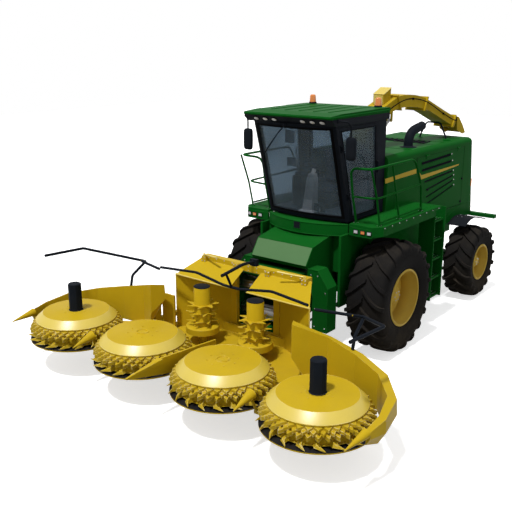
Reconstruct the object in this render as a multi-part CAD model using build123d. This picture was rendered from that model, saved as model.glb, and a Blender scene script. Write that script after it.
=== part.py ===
# Self-propelled forage harvester with a four-rotor maize header.
# Millimetres. +X is forward, +Y is the machine's left, +Z is up.
# Lengths along the machine are written from the front axle. At the end everything
# moves along X so that the origin lies under the middle of the whole machine.
from build123d import *
import math
import os

# Wheels
front_tyre_radius = 900.0
front_tyre_width = 650.0
front_tyre_outer_face = 1525.0
front_rim_seat = 440.0
front_lug_pairs = 15
rear_tyre_radius = 690.0
rear_tyre_width = 550.0
rear_tyre_outer_face = 1380.0
rear_rim_seat = 325.0
rear_lug_pairs = 13
wheelbase = 3360.0
lug_height = 48.0
rim_flange_rise = 20.0
rim_wall = 14.0
flange_gap = 6.0
spindle_radius = 60.0
kingpin_y = 800.0
kingpin_radius = 35.0

# General fits
slip = 0.3
running_gap = 6.0
sheet = 8.0

# Body and cab
body_half = 800.0
body_top = 3000.0
body_bottom = 1270.0
body_bottom_rear = 1450.0
body_step_x = -2600.0
body_front_x = -500.0
body_rear_top_x = -wheelbase - 440.0
body_rear_low_x = -wheelbase - 660.0
body_wall = 30.0
body_shoulder = 90.0
cab_half = 750.0
cab_floor = 2110.0
cab_ceiling = 3600.0
cab_rear_x = -476.0
screen_low_x = 560.0
screen_lean = 440.0
screen_bow = 120.0
door_set_back = 75.0
cab_wall = 45.0
glass_thick = 8.0
roof_top = 3775.0
fascia_low = (1080.0, 3600.0)
fascia_high = (1170.0, 3700.0)
platform_half = 1307.0
platform_top = 2100.0

# Header
rotor_x = 3494.0
inner_rotor_y = 744.6
outer_rotor_y = 2204.6
rotor_top = 863.0
rotor_flat_radius = 490.0
rotor_skirt_radius = 600.0
rotor_skirt_z = 763.0
rotor_hub = 110.0
drum_skin = 570.0
knife_radius = 722.0
knife_z = 505.0
drum_x = 2524.0
drum_y = 500.0
deck_z = 470.0
deck_thick = 16.0
skid_radius = 690.0
fold_y = 1474.0
fold_z = 950.0
inlet_half = 350.0
header_back_x = 1857.0
lift_x = 350.0
lift_z = 1150.0

# Rear hitch
frame_rear_x = -wheelbase - 790.0
frame_front_x = 235.0
hitch_x = frame_rear_x - 90.0
hitch_z = 720.0
hitch_gap = 70.0
hitch_bore = 16.0

# Cylinders, each from its foot pin to its rod's eye, as (x, z) or (y, z)
lift_foot = (230.0, 720.0)
lift_eye = (1500.0, 640.0)
fold_foot = (760.0, 650.0)
fold_eye = (1500.0, 560.0)
fold_cylinder_x = 2000.0

# Spout. It stands behind the cab and looks rearward, slewed a little to the left.
# Its own lengths run rearward from the slew axis.
spout_x = -1080.0
spout_slew = 7.65
spout_half = 185.0
turret_z = 3030.0
spout_foot = (300.0, 3085.0)
spout_eye = (700.0, 3440.0)
spout_hinge = (-240.0, 3120.0)
duct_foot = (-215.0, 15.0)
duct_end_tilt = 21.5
flap_hinge = (2600.0, 3400.0)
flap_half = 197.0
hoop_reach = 2100.0

# Nose
nose_half = 520.0
nose_rear_x = 600.0
portal_x = (1050.0, 1300.0)
band_z = (1900.0, 2080.0)

nodes = {}


spout_place = Pos(spout_x, 0, 0) * Rot(0, 0, 180 - spout_slew)


def keep(name, *solids):
    # One named piece, of one or more solids that do not touch.
    nodes[name] = list(solids)


def block(x, y, z):
    # A box between two corners, each axis given as (low, high).
    return Pos((x[0] + x[1]) / 2, (y[0] + y[1]) / 2, (z[0] + z[1]) / 2) * Box(
        x[1] - x[0], y[1] - y[0], z[1] - z[0])


def side_prism(points, y_low, y_high):
    # A side outline of (x, z) points, stretched between two places across the machine.
    return Pos(0, y_high, 0) * extrude(Plane.XZ * make_face(Polyline(*points, close=True)), y_high - y_low)


def plan_prism(points, z_low, z_high):
    # A plan outline of (x, y) points, stretched between two heights.
    return Pos(0, 0, z_low) * extrude(make_face(Polyline(*points, close=True)), z_high - z_low)


def cross_prism(points, x_low, x_high):
    # A cross section of (y, z) points, stretched along the machine.
    return Pos(x_low, 0, 0) * extrude(Plane.YZ * make_face(Polyline(*points, close=True)), x_high - x_low)


def rod(start, end, radius):
    # A round bar between two points.
    a = Vector(*start)
    b = Vector(*end)
    return extrude(Plane(origin=a, z_dir=(b - a).normalized()) * Circle(radius), (b - a).length)


def bent_rod(points, radius):
    # A round bar through several points, with ball corners.
    body = rod(points[0], points[1], radius)
    for corner, after in zip(points[1:-1], points[2:]):
        body += Pos(*corner) * Sphere(radius)
        body += rod(corner, after, radius)
    return body


def turned_y(profile):
    # A closed outline of (radius, y) points turned about the Y axis.
    return revolve(make_face(Polyline(*profile, close=True)), Axis.Y)


def turned_z(profile):
    # A closed outline of (radius, z) points turned about the Z axis.
    return revolve(Plane.XZ * make_face(Polyline(*profile, close=True)), Axis.Z)


def mirrored(solid):
    return mirror(solid, about=Plane.XZ)


def plate_between(start, end, thick, z_low, z_high):
    # An upright plate between two plan points.
    dx = end[0] - start[0]
    dy = end[1] - start[1]
    reach = math.hypot(dx, dy)
    nx = -dy / reach * thick / 2
    ny = dx / reach * thick / 2
    return plan_prism([(start[0] + nx, start[1] + ny), (end[0] + nx, end[1] + ny),
                       (end[0] - nx, end[1] - ny), (start[0] - nx, start[1] - ny)], z_low, z_high)


def cylinder(foot, eye, barrel_reach, rod_start, push_in, barrel_radius, rod_radius, eye_half, pin_axis, pin_reach):
    # A hydraulic cylinder: a hollow barrel with its foot pin, and a rod with a boss for its eye.
    a = Vector(*foot)
    b = Vector(*eye)
    along = (b - a).normalized()
    end = a + along * barrel_reach
    start = a + along * rod_start
    pin = Vector(*pin_axis)
    barrel = rod(foot, (end.X, end.Y, end.Z), barrel_radius)
    inside = a + along * (rod_start - push_in - 10)
    beyond = a + along * (barrel_reach + 10)
    barrel -= rod((inside.X, inside.Y, inside.Z), (beyond.X, beyond.Y, beyond.Z), rod_radius + slip)
    low = a - pin * pin_reach
    high = a + pin * pin_reach
    barrel += rod((low.X, low.Y, low.Z), (high.X, high.Y, high.Z), 15) - rod(
        (inside.X, inside.Y, inside.Z), (beyond.X, beyond.Y, beyond.Z), rod_radius + slip)
    piston = rod((start.X, start.Y, start.Z), eye, rod_radius)
    low = b - pin * eye_half
    high = b + pin * eye_half
    piston += rod((low.X, low.Y, low.Z), (high.X, high.Y, high.Z), 1.4 * rod_radius)
    return barrel, piston


def tyre(radius, width, seat, pairs, mirror_lugs):
    # A carcass turned from its section, with swept bar lugs on both halves of the tread.
    crown = radius - lug_height
    half = width / 2
    bead = 0.40 * width
    section = [(seat + slip, -bead), (seat + 60, -bead - 10), ((seat + crown) / 2, -half),
               (crown - 70, -half + 6), (crown - 6, -0.36 * width), (crown, 0),
               (crown - 6, 0.36 * width), (crown - 70, half - 6), ((seat + crown) / 2, half),
               (seat + 60, bead + 10), (seat + slip, bead)]
    carcass = turned_y(section)
    pitch = 360.0 / pairs
    sweep = 0.30 * width
    bar = 0.105 * width
    envelope = turned_y([(crown - 120, -half), (radius - 45, -half), (radius, -0.34 * width),
                         (radius, 0.34 * width), (radius - 45, half), (crown - 120, half)])
    outline = [(-0.55 * bar, -0.04 * width), (0.55 * bar, -0.04 * width),
               (sweep + 0.75 * bar, 0.49 * width), (sweep - 0.75 * bar, 0.49 * width)]
    lug = Pos(0, 0, crown - 60) * extrude(make_face(Polyline(*outline, close=True)), 120)
    lug = lug & envelope
    other = Rot(0, pitch / 2, 0) * mirrored(lug)
    lugs = []
    for turn in range(pairs):
        lugs.append(Rot(0, turn * pitch, 0) * lug)
        lugs.append(Rot(0, turn * pitch, 0) * other)
    body = carcass + lugs
    return mirror(body, about=Plane.YZ) if mirror_lugs else body


def rim(seat, width, dish, hub_radius):
    # A deep dished disc wheel with a closed hub; its outer face looks along +Y.
    bead = 0.40 * width
    flange = seat + rim_flange_rise
    inner = seat - rim_wall
    lip = 24
    bore = spindle_radius + slip
    return turned_y([(inner, bead + lip), (flange, bead + lip), (flange, bead + flange_gap), (seat, bead + flange_gap),
                     (seat, -bead - flange_gap), (flange, -bead - flange_gap), (flange, -bead - lip), (inner, -bead - lip),
                     (inner, dish - 90), (0.72 * inner, dish - 14), (bore, dish - 14),
                     (bore, dish + 90), (0, dish + 90), (0, dish + 112), (0.7 * hub_radius, dish + 112),
                     (hub_radius, dish + 80), (hub_radius, dish), (0.74 * inner, dish), (inner, dish - 60)])


front_wheel_y = front_tyre_outer_face - front_tyre_width / 2
rear_wheel_y = rear_tyre_outer_face - rear_tyre_width / 2
front_dish = 30.0
rear_dish = 60.0
front_hub_radius = 150.0
rear_hub_radius = 120.0


def make_wheels():
    # Four wheels; the tread's V points the same way round on both sides.
    table = [  # name, x, y, radius, width, seat, pairs, dish, hub
        ("front", 0.0, front_wheel_y, front_tyre_radius, front_tyre_width, front_rim_seat,
         front_lug_pairs, front_dish, front_hub_radius),
        ("rear", -wheelbase, rear_wheel_y, rear_tyre_radius, rear_tyre_width, rear_rim_seat,
         rear_lug_pairs, rear_dish, rear_hub_radius)]
    for name, x, y, radius, width, seat, pairs, dish, hub in table:
        left_tyre = Pos(x, y, radius) * tyre(radius, width, seat, pairs, False)
        left_rim = Pos(x, y, radius) * rim(seat, width, dish, hub)
        keep(name + "_tyre_left", left_tyre)
        keep(name + "_rim_left", left_rim)
        keep(name + "_tyre_right", mirrored(left_tyre))
        keep(name + "_rim_right", mirrored(left_rim))


def make_axles():
    # Front drive axle: a beam between two final drives with spindles into the rims.
    z = front_tyre_radius
    drive_end = front_wheel_y + front_dish - 14 - running_gap
    beam = block((-130, 130), (-620, 620), (z - 110, z + 110))
    front = beam
    for side in (1, -1):
        front += rod((0, side * 600, z), (0, side * 700, z), 230)
        front += rod((0, side * 690, z), (0, side * drive_end, z), 170)
        front += rod((0, side * drive_end, z), (0, side * (front_wheel_y + front_dish + 80), z), spindle_radius)
    keep("front_axle", front)
    # Rear axle: a beam with a fork at each end round the kingpin.
    x = -wheelbase
    z = rear_tyre_radius
    rear = cross_prism([(-690, z - 90), (690, z - 90), (690, z + 90), (300, z + 130), (-300, z + 130),
                        (-690, z + 90)], x - 90, x + 90)
    for side in (1, -1):
        for low in (z - 125, z + 85):
            rear += block((x - 70, x + 70), sorted((side * 640, side * 870)), (low, low + 40))
        rear -= rod((x, side * kingpin_y, z - 140), (x, side * kingpin_y, z + 140), kingpin_radius + slip)
        rear -= block((x - 100, x + 100), sorted((side * 705, side * 880)), (z - 85, z + 85))
    keep("rear_axle_beam", rear)
    # Knuckle: a turned barrel on the kingpin and a spindle into the rim.
    left = rod((x, kingpin_y, z - 80), (x, kingpin_y, z + 80), 62)
    left += rod((x, kingpin_y, z - 130), (x, kingpin_y, z + 130), kingpin_radius)
    shoulder = rear_wheel_y + rear_dish - 14 - running_gap
    left += rod((x, kingpin_y + 30, z), (x, shoulder, z), 78)
    left += rod((x, shoulder, z), (x, rear_wheel_y + rear_dish + 80, z), spindle_radius)
    keep("rear_knuckle_left", left)
    keep("rear_knuckle_right", mirrored(left))


def make_frame():
    # Two rails with cross members, the rear hitch and the engine as one plain mass.
    frame = None
    for side in (1, -1):
        rail = block((frame_rear_x, frame_front_x), sorted((side * 230, side * 320)), (1010, 1210))
        frame = rail if frame is None else frame + rail
    for x in (frame_rear_x + 30, -wheelbase - 60, -2300, -1200, -40):
        frame += block((x, x + 120), (-320, 320), (1010, 1210))
    # Outriggers carry the body shell.
    for x in (-1200, -2300):
        frame += block((x, x + 80), (10 - body_half, body_half - 10), (1190, body_bottom - slip))
    # A saddle carries the rear axle; the feed housing's pivot cheeks stand at the front.
    frame += block((-wheelbase - 80, -wheelbase + 80), (-200, 200), (rear_tyre_radius + 130, 1012))
    for side in (1, -1):
        frame += block((200, lift_x + 60), sorted((side * 455, side * 520)), (1000, lift_z + 70))
        frame += block((150, frame_front_x), sorted((side * 300, side * 520)), (1010, 1150))
        # Feet of the lift cylinders hang from the pivot cheeks.
        frame += block((200, lift_foot[0] + 35), sorted((side * 455, side * 490)), (lift_foot[1] - 40, 1010))
        frame -= rod((lift_foot[0], side * 450, lift_foot[1]), (lift_foot[0], side * 500, lift_foot[1]), 15 + slip)
        frame -= rod((lift_x, side * 450, lift_z), (lift_x, side * 530, lift_z), 45 + slip)
    # Hitch: a drop plate and a jaw with a pin hole.
    frame += block((frame_rear_x, frame_rear_x + 40), (-150, 150), (620, 1210))
    frame += block((hitch_x - 50, frame_rear_x + 10), (-60, 60), (hitch_z - hitch_gap / 2 - 30, hitch_z - hitch_gap / 2))
    frame += block((hitch_x - 50, frame_rear_x + 10), (-60, 60), (hitch_z + hitch_gap / 2, hitch_z + hitch_gap / 2 + 30))
    frame -= rod((hitch_x, 0, hitch_z - 200), (hitch_x, 0, hitch_z + 200), hitch_bore)
    keep("main_frame", frame)
    keep("engine_block", block((-3500, -2100), (-480, 480), (1400, 2450))
         + block((-3300, -2300), (-300, 300), (1210, 1401)))


def hood_outline(inset):
    # Side outline of the rear body, drawn in by one distance.
    return [(body_front_x - inset, body_bottom), (body_front_x - inset, body_top - inset),
            (body_rear_top_x + inset, body_top - inset), (body_rear_low_x + inset, body_bottom_rear),
            (body_step_x, body_bottom_rear), (body_step_x, body_bottom)]


panel_rear_x = -3480.0
panel_front_x = (-1500.0, -1920.0)
panel_z = (1740.0, 2860.0)
panel_hinge_out = 15.0
panel_hinge_z = 2862.0
# Louvre slots: front end, its height, rear end, its height, width of the slot.
louvres = [(-1690, 2737, -2868, 2770, 60), (-1710, 2615, -2922, 2642, 55), (-1840, 2398, -2990, 2450, 42),
           (-1922, 2243, -3017, 2360, 42), (-1941, 2110, -3032, 2270, 40), (-1939, 1979, -3050, 2169, 40)]


panel_hinges = (-3200.0, -1900.0)


def panel_outline(gap):
    # Side outline of a side panel, grown by one gap; its front edge leans with the body's crease.
    low, high = panel_z
    lean = (panel_front_x[0] - panel_front_x[1]) / (high - low)
    return [(panel_rear_x - gap, low - gap), (panel_rear_x - gap, high + min(gap, slip)),
            (panel_front_x[0] + gap + lean * min(gap, slip), high + min(gap, slip)),
            (panel_front_x[1] + gap - lean * gap, low - gap)]


def make_hood():
    # The rear body is a shell, open below, with a window behind each side panel.
    outer = side_prism(hood_outline(0), -body_half, body_half)
    top_edges = [edge for edge in outer.edges().filter_by(Axis.X) if edge.center().Z > body_top - 1]
    outer = fillet(top_edges, body_shoulder)
    inner = side_prism(hood_outline(body_wall), -body_half + body_wall, body_half - body_wall)
    shell = outer - inner
    for side in (1, -1):
        shell -= side_prism(panel_outline(running_gap),
                            *sorted((side * (body_half - 2 * body_wall), side * (body_half + 20))))
        # Two hinges along the panel's top edge: a pin between two lugs.
        y = side * (body_half + panel_hinge_out)
        for x in panel_hinges:
            shell += rod((x - 60, y, panel_hinge_z), (x + 60, y, panel_hinge_z), 6)
            for end in (x - 60, x + 44):
                shell += rod((end, y, panel_hinge_z), (end + 16, y, panel_hinge_z), 13)
                shell += block((end, end + 16), sorted((side * (body_half - 5), y)), (panel_hinge_z + 4, panel_hinge_z + 18))
    # A shelf across the back, and a hole for the spout's column. Cooling air comes in through the top.
    shell += block((body_rear_low_x - 90, body_rear_low_x + 20), (-1300, 1300), (1420, 1490))
    shell -= rod((spout_x, 0, body_top - 60), (spout_x, 0, body_top + 20), 245)
    shell -= block((-2700, -2340), (-500, 500), (body_top - 60, body_top + 20))
    keep("hood_shell", shell)
    grille = block((-2700 + slip, -2340 - slip), (-500 + slip, 500 - slip), (body_top - 26, body_top - 20))
    for step in range(9):
        y = -440 + step * 110
        grille += block((-2700 + slip, -2340 - slip), (y - 12, y + 12), (body_top - 21, body_top + 6))
    hoop = spout_place * bent_rod([(hoop_reach, -285, body_top + slip), (hoop_reach, -285, 3040), (hoop_reach, -150, 3304),
                                   (hoop_reach, 150, 3304), (hoop_reach, 285, 3040), (hoop_reach, 285, body_top + slip)], 16)
    keep("hood_grille", grille, hoop)
    left = side_prism(panel_outline(0), body_half - body_wall, body_half)
    for front, front_z, rear, rear_z, width in louvres:
        left -= side_prism([(front, front_z - width / 2), (front, front_z + width / 2),
                            (rear, rear_z + width / 2), (rear, rear_z - width / 2)],
                           body_half - body_wall - 5, body_half + 5)
    # The front edge is cut back near the hinges, where it swings inward.
    left -= side_prism([(panel_front_x[0] - 16, panel_z[1] + 5), (panel_front_x[0] + 10, panel_z[1] + 5),
                        (panel_front_x[0] - 44, panel_z[1] - 140)], body_half - body_wall - 5, body_half + 5)
    y = body_half + panel_hinge_out
    for x in panel_hinges:
        left += rod((x - 38, y, panel_hinge_z), (x + 38, y, panel_hinge_z), 12)
        left += block((x - 38, x + 38), (body_half - 1, body_half + 8), (2800, 2856))
        left -= rod((x - 50, y, panel_hinge_z), (x + 50, y, panel_hinge_z), 6 + slip)
    keep("side_panel_left", left)
    keep("side_panel_right", mirrored(left))


def make_nose():
    # The body below and ahead of the cab: side plates, a bowed band, a narrow bonnet and a wide portal.
    nose = None
    for side in (1, -1):
        plate = side_prism([(body_front_x, 1300), (body_front_x, 2040), (570, 2040), (570, 1300)],
                           *sorted((side * 700, side * 730)))
        nose = plate if nose is None else nose + plate
        cheek = [(nose_rear_x, 1100), (nose_rear_x, 1905), (650, 1905), (1180, 1800), (1350, 1550), (1290, 1480), (1290, 1100)]
        nose += side_prism(cheek, *sorted((side * (nose_half - 20), side * nose_half)))
        nose += block((500, 800), sorted((side * 735, side * 775)), (800, 1940))
        nose += block((500, nose_rear_x + 10), sorted((side * (nose_half - 20), side * 740)), (1300, 1920))
    nose += block((body_front_x, 585), (-729, 729), (2010, 2050))
    bow = make_face([ThreePointArc((585, -760), (866, 0), (585, 760)), Polyline((585, 760), (560, 760), (560, -760), (585, -760))])
    inner = make_face([ThreePointArc((560, -735), (836, 0), (560, 735)), Line((560, 735), (560, -735))])
    low, high = band_z
    band = Pos(0, 0, low) * extrude(bow, high - low) - Pos(0, 0, low - 5) * extrude(inner, high - low - 35)
    nose += band & block((500, 900), (-758, 758), (low, high))
    top = [(nose_rear_x, 1905), (650, 1905), (1180, 1800), (1350, 1550), (1318, 1550), (1160, 1774), (645, 1875), (nose_rear_x, 1875)]
    nose += side_prism(top, 1 - nose_half, nose_half - 1)
    portal = [(-880, 550), (-880, 1250), (-700, 1500), (700, 1500), (880, 1250), (880, 550)]
    hollow = [(-850, 540), (-850, 1240), (-685, 1470), (685, 1470), (850, 1240), (850, 540)]
    window = [(-620, 540), (-620, 1100), (1 - nose_half, 1300), (1 - nose_half, 1490), (nose_half - 1, 1490),
              (nose_half - 1, 1300), (620, 1100), (620, 540)]
    frame = cross_prism(portal, *portal_x) - cross_prism(hollow, portal_x[0] - 5, portal_x[1] - 30)
    nose += frame - cross_prism(window, portal_x[0] - 10, portal_x[1] + 10)
    keep("nose_shell", nose)


def cab_plan(inset):
    # Plan of the cab at floor height, with a bowed front, as a face.
    half = cab_half - inset
    front = screen_low_x - inset
    rear = cab_rear_x + inset
    bow = ThreePointArc((front, -half), (front + screen_bow, 0), (front, half))
    back = Polyline((front, half), (rear, half), (rear, -half), (front, -half))
    return make_face([bow, back])


def cab_volume(inset, z_low, z_high):
    # The cab's outer form drawn in by one distance: the front leans out as it rises.
    tall = cab_ceiling - cab_floor
    lean = Vector(screen_lean, 0, tall).normalized()
    long = Vector(screen_lean, 0, tall).length
    leaning = Pos(0, 0, cab_floor) * extrude(cab_plan(inset), long, dir=lean)
    upright = Pos(0, 0, cab_floor) * extrude(cab_plan(inset), tall)
    return (leaning + upright) & block((-2000, 3000), (-2000, 2000), (z_low, z_high))


def door_outline(inset, front_more=0):
    # Side outline of the cab door: front edge along the leaning pillar.
    slope = screen_lean / (cab_ceiling - cab_floor)
    low = cab_floor + 25 + inset
    high = cab_ceiling - 40 - inset
    front_low = screen_low_x - door_set_back + slope * (low - cab_floor) - inset + front_more
    front_high = screen_low_x - door_set_back + slope * (high - cab_floor) - inset + front_more
    return [(front_low, low), (front_high, high), (-190 + inset, high), (-300 + inset, low)]


def hinge_point(z):
    # A point on the door's leaning hinge line, just outside the cab's side.
    slope = screen_lean / (cab_ceiling - cab_floor)
    return (screen_low_x - door_set_back + 3 + slope * (z - cab_floor), cab_half + 14, z)


def make_cab():
    # Hollow cab: floor, pillars and rails left between the windows; panes set in them.
    shell = cab_volume(0, cab_floor, cab_ceiling) - cab_volume(cab_wall, cab_floor + 60, cab_ceiling + 1)
    pane = cab_volume(12, cab_floor, cab_ceiling) - cab_volume(12 + glass_thick, cab_floor - 1, cab_ceiling + 1)
    screen = side_prism([(300, cab_floor + 70), (1500, cab_floor + 70), (1500, cab_ceiling - 50), (700, cab_ceiling - 50)],
                        -cab_half + 55, cab_half - 55)
    rear = block((cab_rear_x - 20, cab_rear_x + 120), (-cab_half + 90, cab_half - 90), (cab_floor + 500, cab_ceiling - 70))
    right = side_prism(door_outline(45), -cab_half - 20, -cab_half + 100)
    left = side_prism(door_outline(-running_gap), cab_half - 100, cab_half + 20) + side_prism(
        door_outline(-running_gap - 4, 28), cab_half - 100, cab_half - 12)
    for x in (-430, 380):
        for y in (-660, 560):
            shell += block((x, x + 100), (y, y + 100), (2050 + slip, cab_floor + 10))
    shell -= screen
    shell -= rear
    shell -= right
    shell -= left
    inset = slip
    screen_pane = pane & side_prism([(300, cab_floor + 70 + inset), (1500, cab_floor + 70 + inset),
                                     (1500, cab_ceiling - 50 - inset), (700, cab_ceiling - 50 - inset)],
                                    -cab_half + 55 + inset, cab_half - 55 - inset)
    rear_pane = pane & block((cab_rear_x - 20, cab_rear_x + 120), (-cab_half + 90 + inset, cab_half - 90 - inset),
                             (cab_floor + 500 + inset, cab_ceiling - 70 - inset))
    right_pane = pane & side_prism(door_outline(45 + inset), -cab_half - 20, -cab_half + 100)
    keep("cab_glass", screen_pane, rear_pane, right_pane)
    door = side_prism(door_outline(0), cab_half - cab_wall, cab_half)
    door -= side_prism(door_outline(55), cab_half - cab_wall - 5, cab_half + 5)
    door += block((-230, -205), (cab_half, cab_half + 40), (2780, 2960))
    # Hinges: a sleeve on the door between two knuckles of the pillar, on a leaning pin.
    for z in (2500, 3250):
        x = hinge_point(z)[0]
        sleeve = rod(hinge_point(z - 26), hinge_point(z + 26), 13.5)
        leaf = block((x - 40, x - 8), (cab_half - 1, cab_half + 8), (z - 20, z + 20))
        leaf += block((x - 40, x), (cab_half + 1, cab_half + 8), (z - 20, z + 20))
        door += (sleeve + leaf) - rod(hinge_point(z - 40), hinge_point(z + 40), 6 + slip)
        shell += rod(hinge_point(z - 50), hinge_point(z + 50), 6)
        for end in (z - 50, z + 34):
            x = hinge_point(end + 8)[0]
            shell += rod(hinge_point(end), hinge_point(end + 16), 12)
            shell += block((x, x + 34), (cab_half + 1, cab_half + 20), (end, end + 16))
            shell += block((x + 14, x + 34), (cab_half - 6, cab_half + 2), (end, end + 16))
    keep("cab_frame", shell)
    keep("door_frame", door)
    keep("door_glass", side_prism(door_outline(55 + inset), cab_half - 24, cab_half - 16))
    # Roof: a slab with a dark band under its front edge.
    roof = side_prism([(cab_rear_x - 10, cab_ceiling), (fascia_low[0], fascia_low[1]), (fascia_high[0], fascia_high[1]),
                       (1199, 3700), (1199, 3742), (900, 3765), (-300, roof_top), (cab_rear_x - 20, roof_top)], -790, 790)
    keep("cab_roof", roof)
    # Seat and controls.
    keep("seat", block((-220, 260), (-230, 230), (2420, 2540)) + block((-300, -180), (-220, 220), (2520, 3080)))
    base = block((-180, 220), (-180, 180), (cab_floor + 60 + slip, 2420 - slip))
    column = rod((468, 0, 2190), (352, 0, 2800), 40) + block((400, 520), (-60, 60), (cab_floor + 60 + slip, 2205))
    wheel = Pos(345, 0, 2790) * (Rot(0, -20, 0) * Torus(190, 16))
    spokes = rod((345, -180, 2790), (345, 180, 2790), 12)
    keep("cab_controls", base, column + wheel + spokes)


def lamp_on_fascia(y):
    # A round lamp standing square on the roof's sloped front band.
    dx = fascia_high[0] - fascia_low[0]
    dz = fascia_high[1] - fascia_low[1]
    run = math.hypot(dx, dz)
    face = Vector(dz / run, 0, -dx / run)
    middle = Vector((fascia_low[0] + fascia_high[0]) / 2, y, (fascia_low[1] + fascia_high[1]) / 2)
    seat = middle + face * slip
    front = middle + face * 26
    return rod((seat.X, seat.Y, seat.Z), (front.X, front.Y, front.Z), 42)


def make_roof_fittings():
    # Work lamps in the roof's front, beacons behind, and a mirror on each side.
    white = []
    for y in (-640, -520, -400, 400, 520, 640):
        white.append(lamp_on_fascia(y))
    amber = []
    for side in (1, -1):
        for y, kind in ((920, white), (1040, amber), (1150, white)):
            kind.append(block((620 + slip, 638), sorted((side * (y - 36), side * (y + 36))), (1975, 2030)))
        amber.append(rod((-410, side * 622, roof_top + slip), (-410, side * 622, 3925), 60))
    keep("lamps_white", *white)
    keep("lamps_amber", *amber)
    solids = []
    for side in (1, -1):
        arm = bent_rod([(1000, side * (790 + slip), 3670), (1000, side * 950, 3670), (905, side * 950, 3600),
                        (905, side * 950, 3440)], 14)
        arm += block((880, 930), sorted((side * 865, side * 1035)), (3110, 3450))
        solids.append(arm)
    keep("mirrors", *solids)


def make_platforms():
    # Decks beside the cab over the front wheels, with rails and a ladder on the left.
    solids = []
    for side in (1, -1):
        corner = [(-1500, side * (body_half + 1)), (-490, side * (body_half + 1)), (-490, side * 780), (590, side * 780),
                  (620, side * 1190), (470, side * platform_half), (-1500, side * platform_half)]
        deck = plan_prism(corner, 2050, platform_top)
        deck += plan_prism([(560, side * 780), (590, side * 780), (620, side * 880), (620, side * 1190), (590, side * 1190)], 1930, 2060)
        deck += plan_prism([(620, side * 1190), (470, side * platform_half), (452, side * 1290), (592, side * 1186)], 1950, 2060)
        deck += block((-1270, 471), sorted((side * 1289, side * platform_half)), (1950, 2060))
        deck += block((-480, 400), sorted((side * (730 + slip), side * 800)), (1980, 2050))
        solids.append(deck)
    keep("platforms", *solids)
    rails = []
    for side in (1, -1):
        y = side * 1220
        foot = platform_top + slip
        top = bent_rod([(480, side * 830, foot), (480, side * 830, 2130), (600, side * 830, 2525), (690, side * 830, 2970),
                        (754, y, 2990), (-590, y, 2990), (-860, y, 2556), (-900, y, 2150), (-900, y, foot)], 19)
        middle = bent_rod([(600, side * 830, 2525), (560, y, 2530), (-860, y, 2556)], 16)
        front = bent_rod([(754, y, 2990), (560, y, 2530), (455, y, 2150), (455, y, foot)], 16)
        rails.append(top + middle + front + rod((455, y, 2150), (-900, y, 2150), 16))
    ladder = block((-1330, -1300), (1010, 1300), (440, 2049.7)) + block((-1730, -1700), (1010, 1300), (440, 2049.7))
    for z in (460, 800, 1140, 1480, 1820):
        ladder += block((-1710, -1320), (1040, 1270), (z, z + 35))
    keep("handrails", *rails)
    keep("ladder", ladder)


def make_rear():
    # Flat fenders over the steered wheels, and the exhaust.
    fenders = []
    for side in (1, -1):
        upper = [(-2940, 1442), (-3200, 1542), (-3450, 1542), (-3850, 1442), (-3950, 1412)]
        lower = [(x, z - 12) for x, z in reversed(upper)]
        fenders.append(side_prism(upper + lower, *sorted((side * (body_half + slip), side * 1150))))
    keep("rear_fenders", *fenders)
    pipe = bent_rod([(-1740, 500, body_top + slip), (-1740, 500, 3140), (-1850, 500, 3260), (-2230, 500, 3325)], 80)
    keep("exhaust", pipe)


def arc_points(start, middle, end, steps):
    # Points along the circle through three points, the last one left out.
    (ax, ay), (bx, by), (cx, cy) = start, middle, end
    d = 2 * (ax * (by - cy) + bx * (cy - ay) + cx * (ay - by))
    a2 = ax * ax + ay * ay
    b2 = bx * bx + by * by
    c2 = cx * cx + cy * cy
    ox = (a2 * (by - cy) + b2 * (cy - ay) + c2 * (ay - by)) / d
    oy = (a2 * (cx - bx) + b2 * (ax - cx) + c2 * (bx - ax)) / d
    radius = math.hypot(ax - ox, ay - oy)
    first = math.atan2(ay - oy, ax - ox)
    sweep = math.remainder(math.atan2(cy - oy, cx - ox) - first, 2 * math.pi)
    return [(ox + radius * math.cos(first + sweep * k / steps), oy + radius * math.sin(first + sweep * k / steps))
            for k in range(steps)]


def duct_outline(grow):
    # The curved duct's side outline, grown by one distance: a tight bend up, a long flat back, a drooping tail.
    rear, front = duct_foot
    foot_z = spout_hinge[1]
    points = arc_points((rear, foot_z), (-30, 3475), (300, 3700), 6) + [(300, 3700)]
    points += arc_points((676, 3858), (1090, 3868), (1512, 3788), 5)
    points += [(1512, 3788), (2172, 3523), (2598, 3362), (2535, 3202), (2060, 3392)]
    points += arc_points((1655, 3556), (1180, 3650), (694, 3652), 5)
    points += arc_points((694, 3652), (260, 3440), (front, foot_z), 6) + [(front, foot_z)]
    moved = []
    for index, here in enumerate(points):
        before = points[index - 1]
        after = points[(index + 1) % len(points)]
        into = Vector(here[0] - before[0], here[1] - before[1]).normalized()
        out = Vector(after[0] - here[0], after[1] - here[1]).normalized()
        share = grow / (1 + into.dot(out))
        moved.append((here[0] - (into.Y + out.Y) * share, here[1] + (into.X + out.X) * share))
    return moved


def duct_solid(grow, half):
    return side_prism(duct_outline(grow), -half, half)


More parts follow.
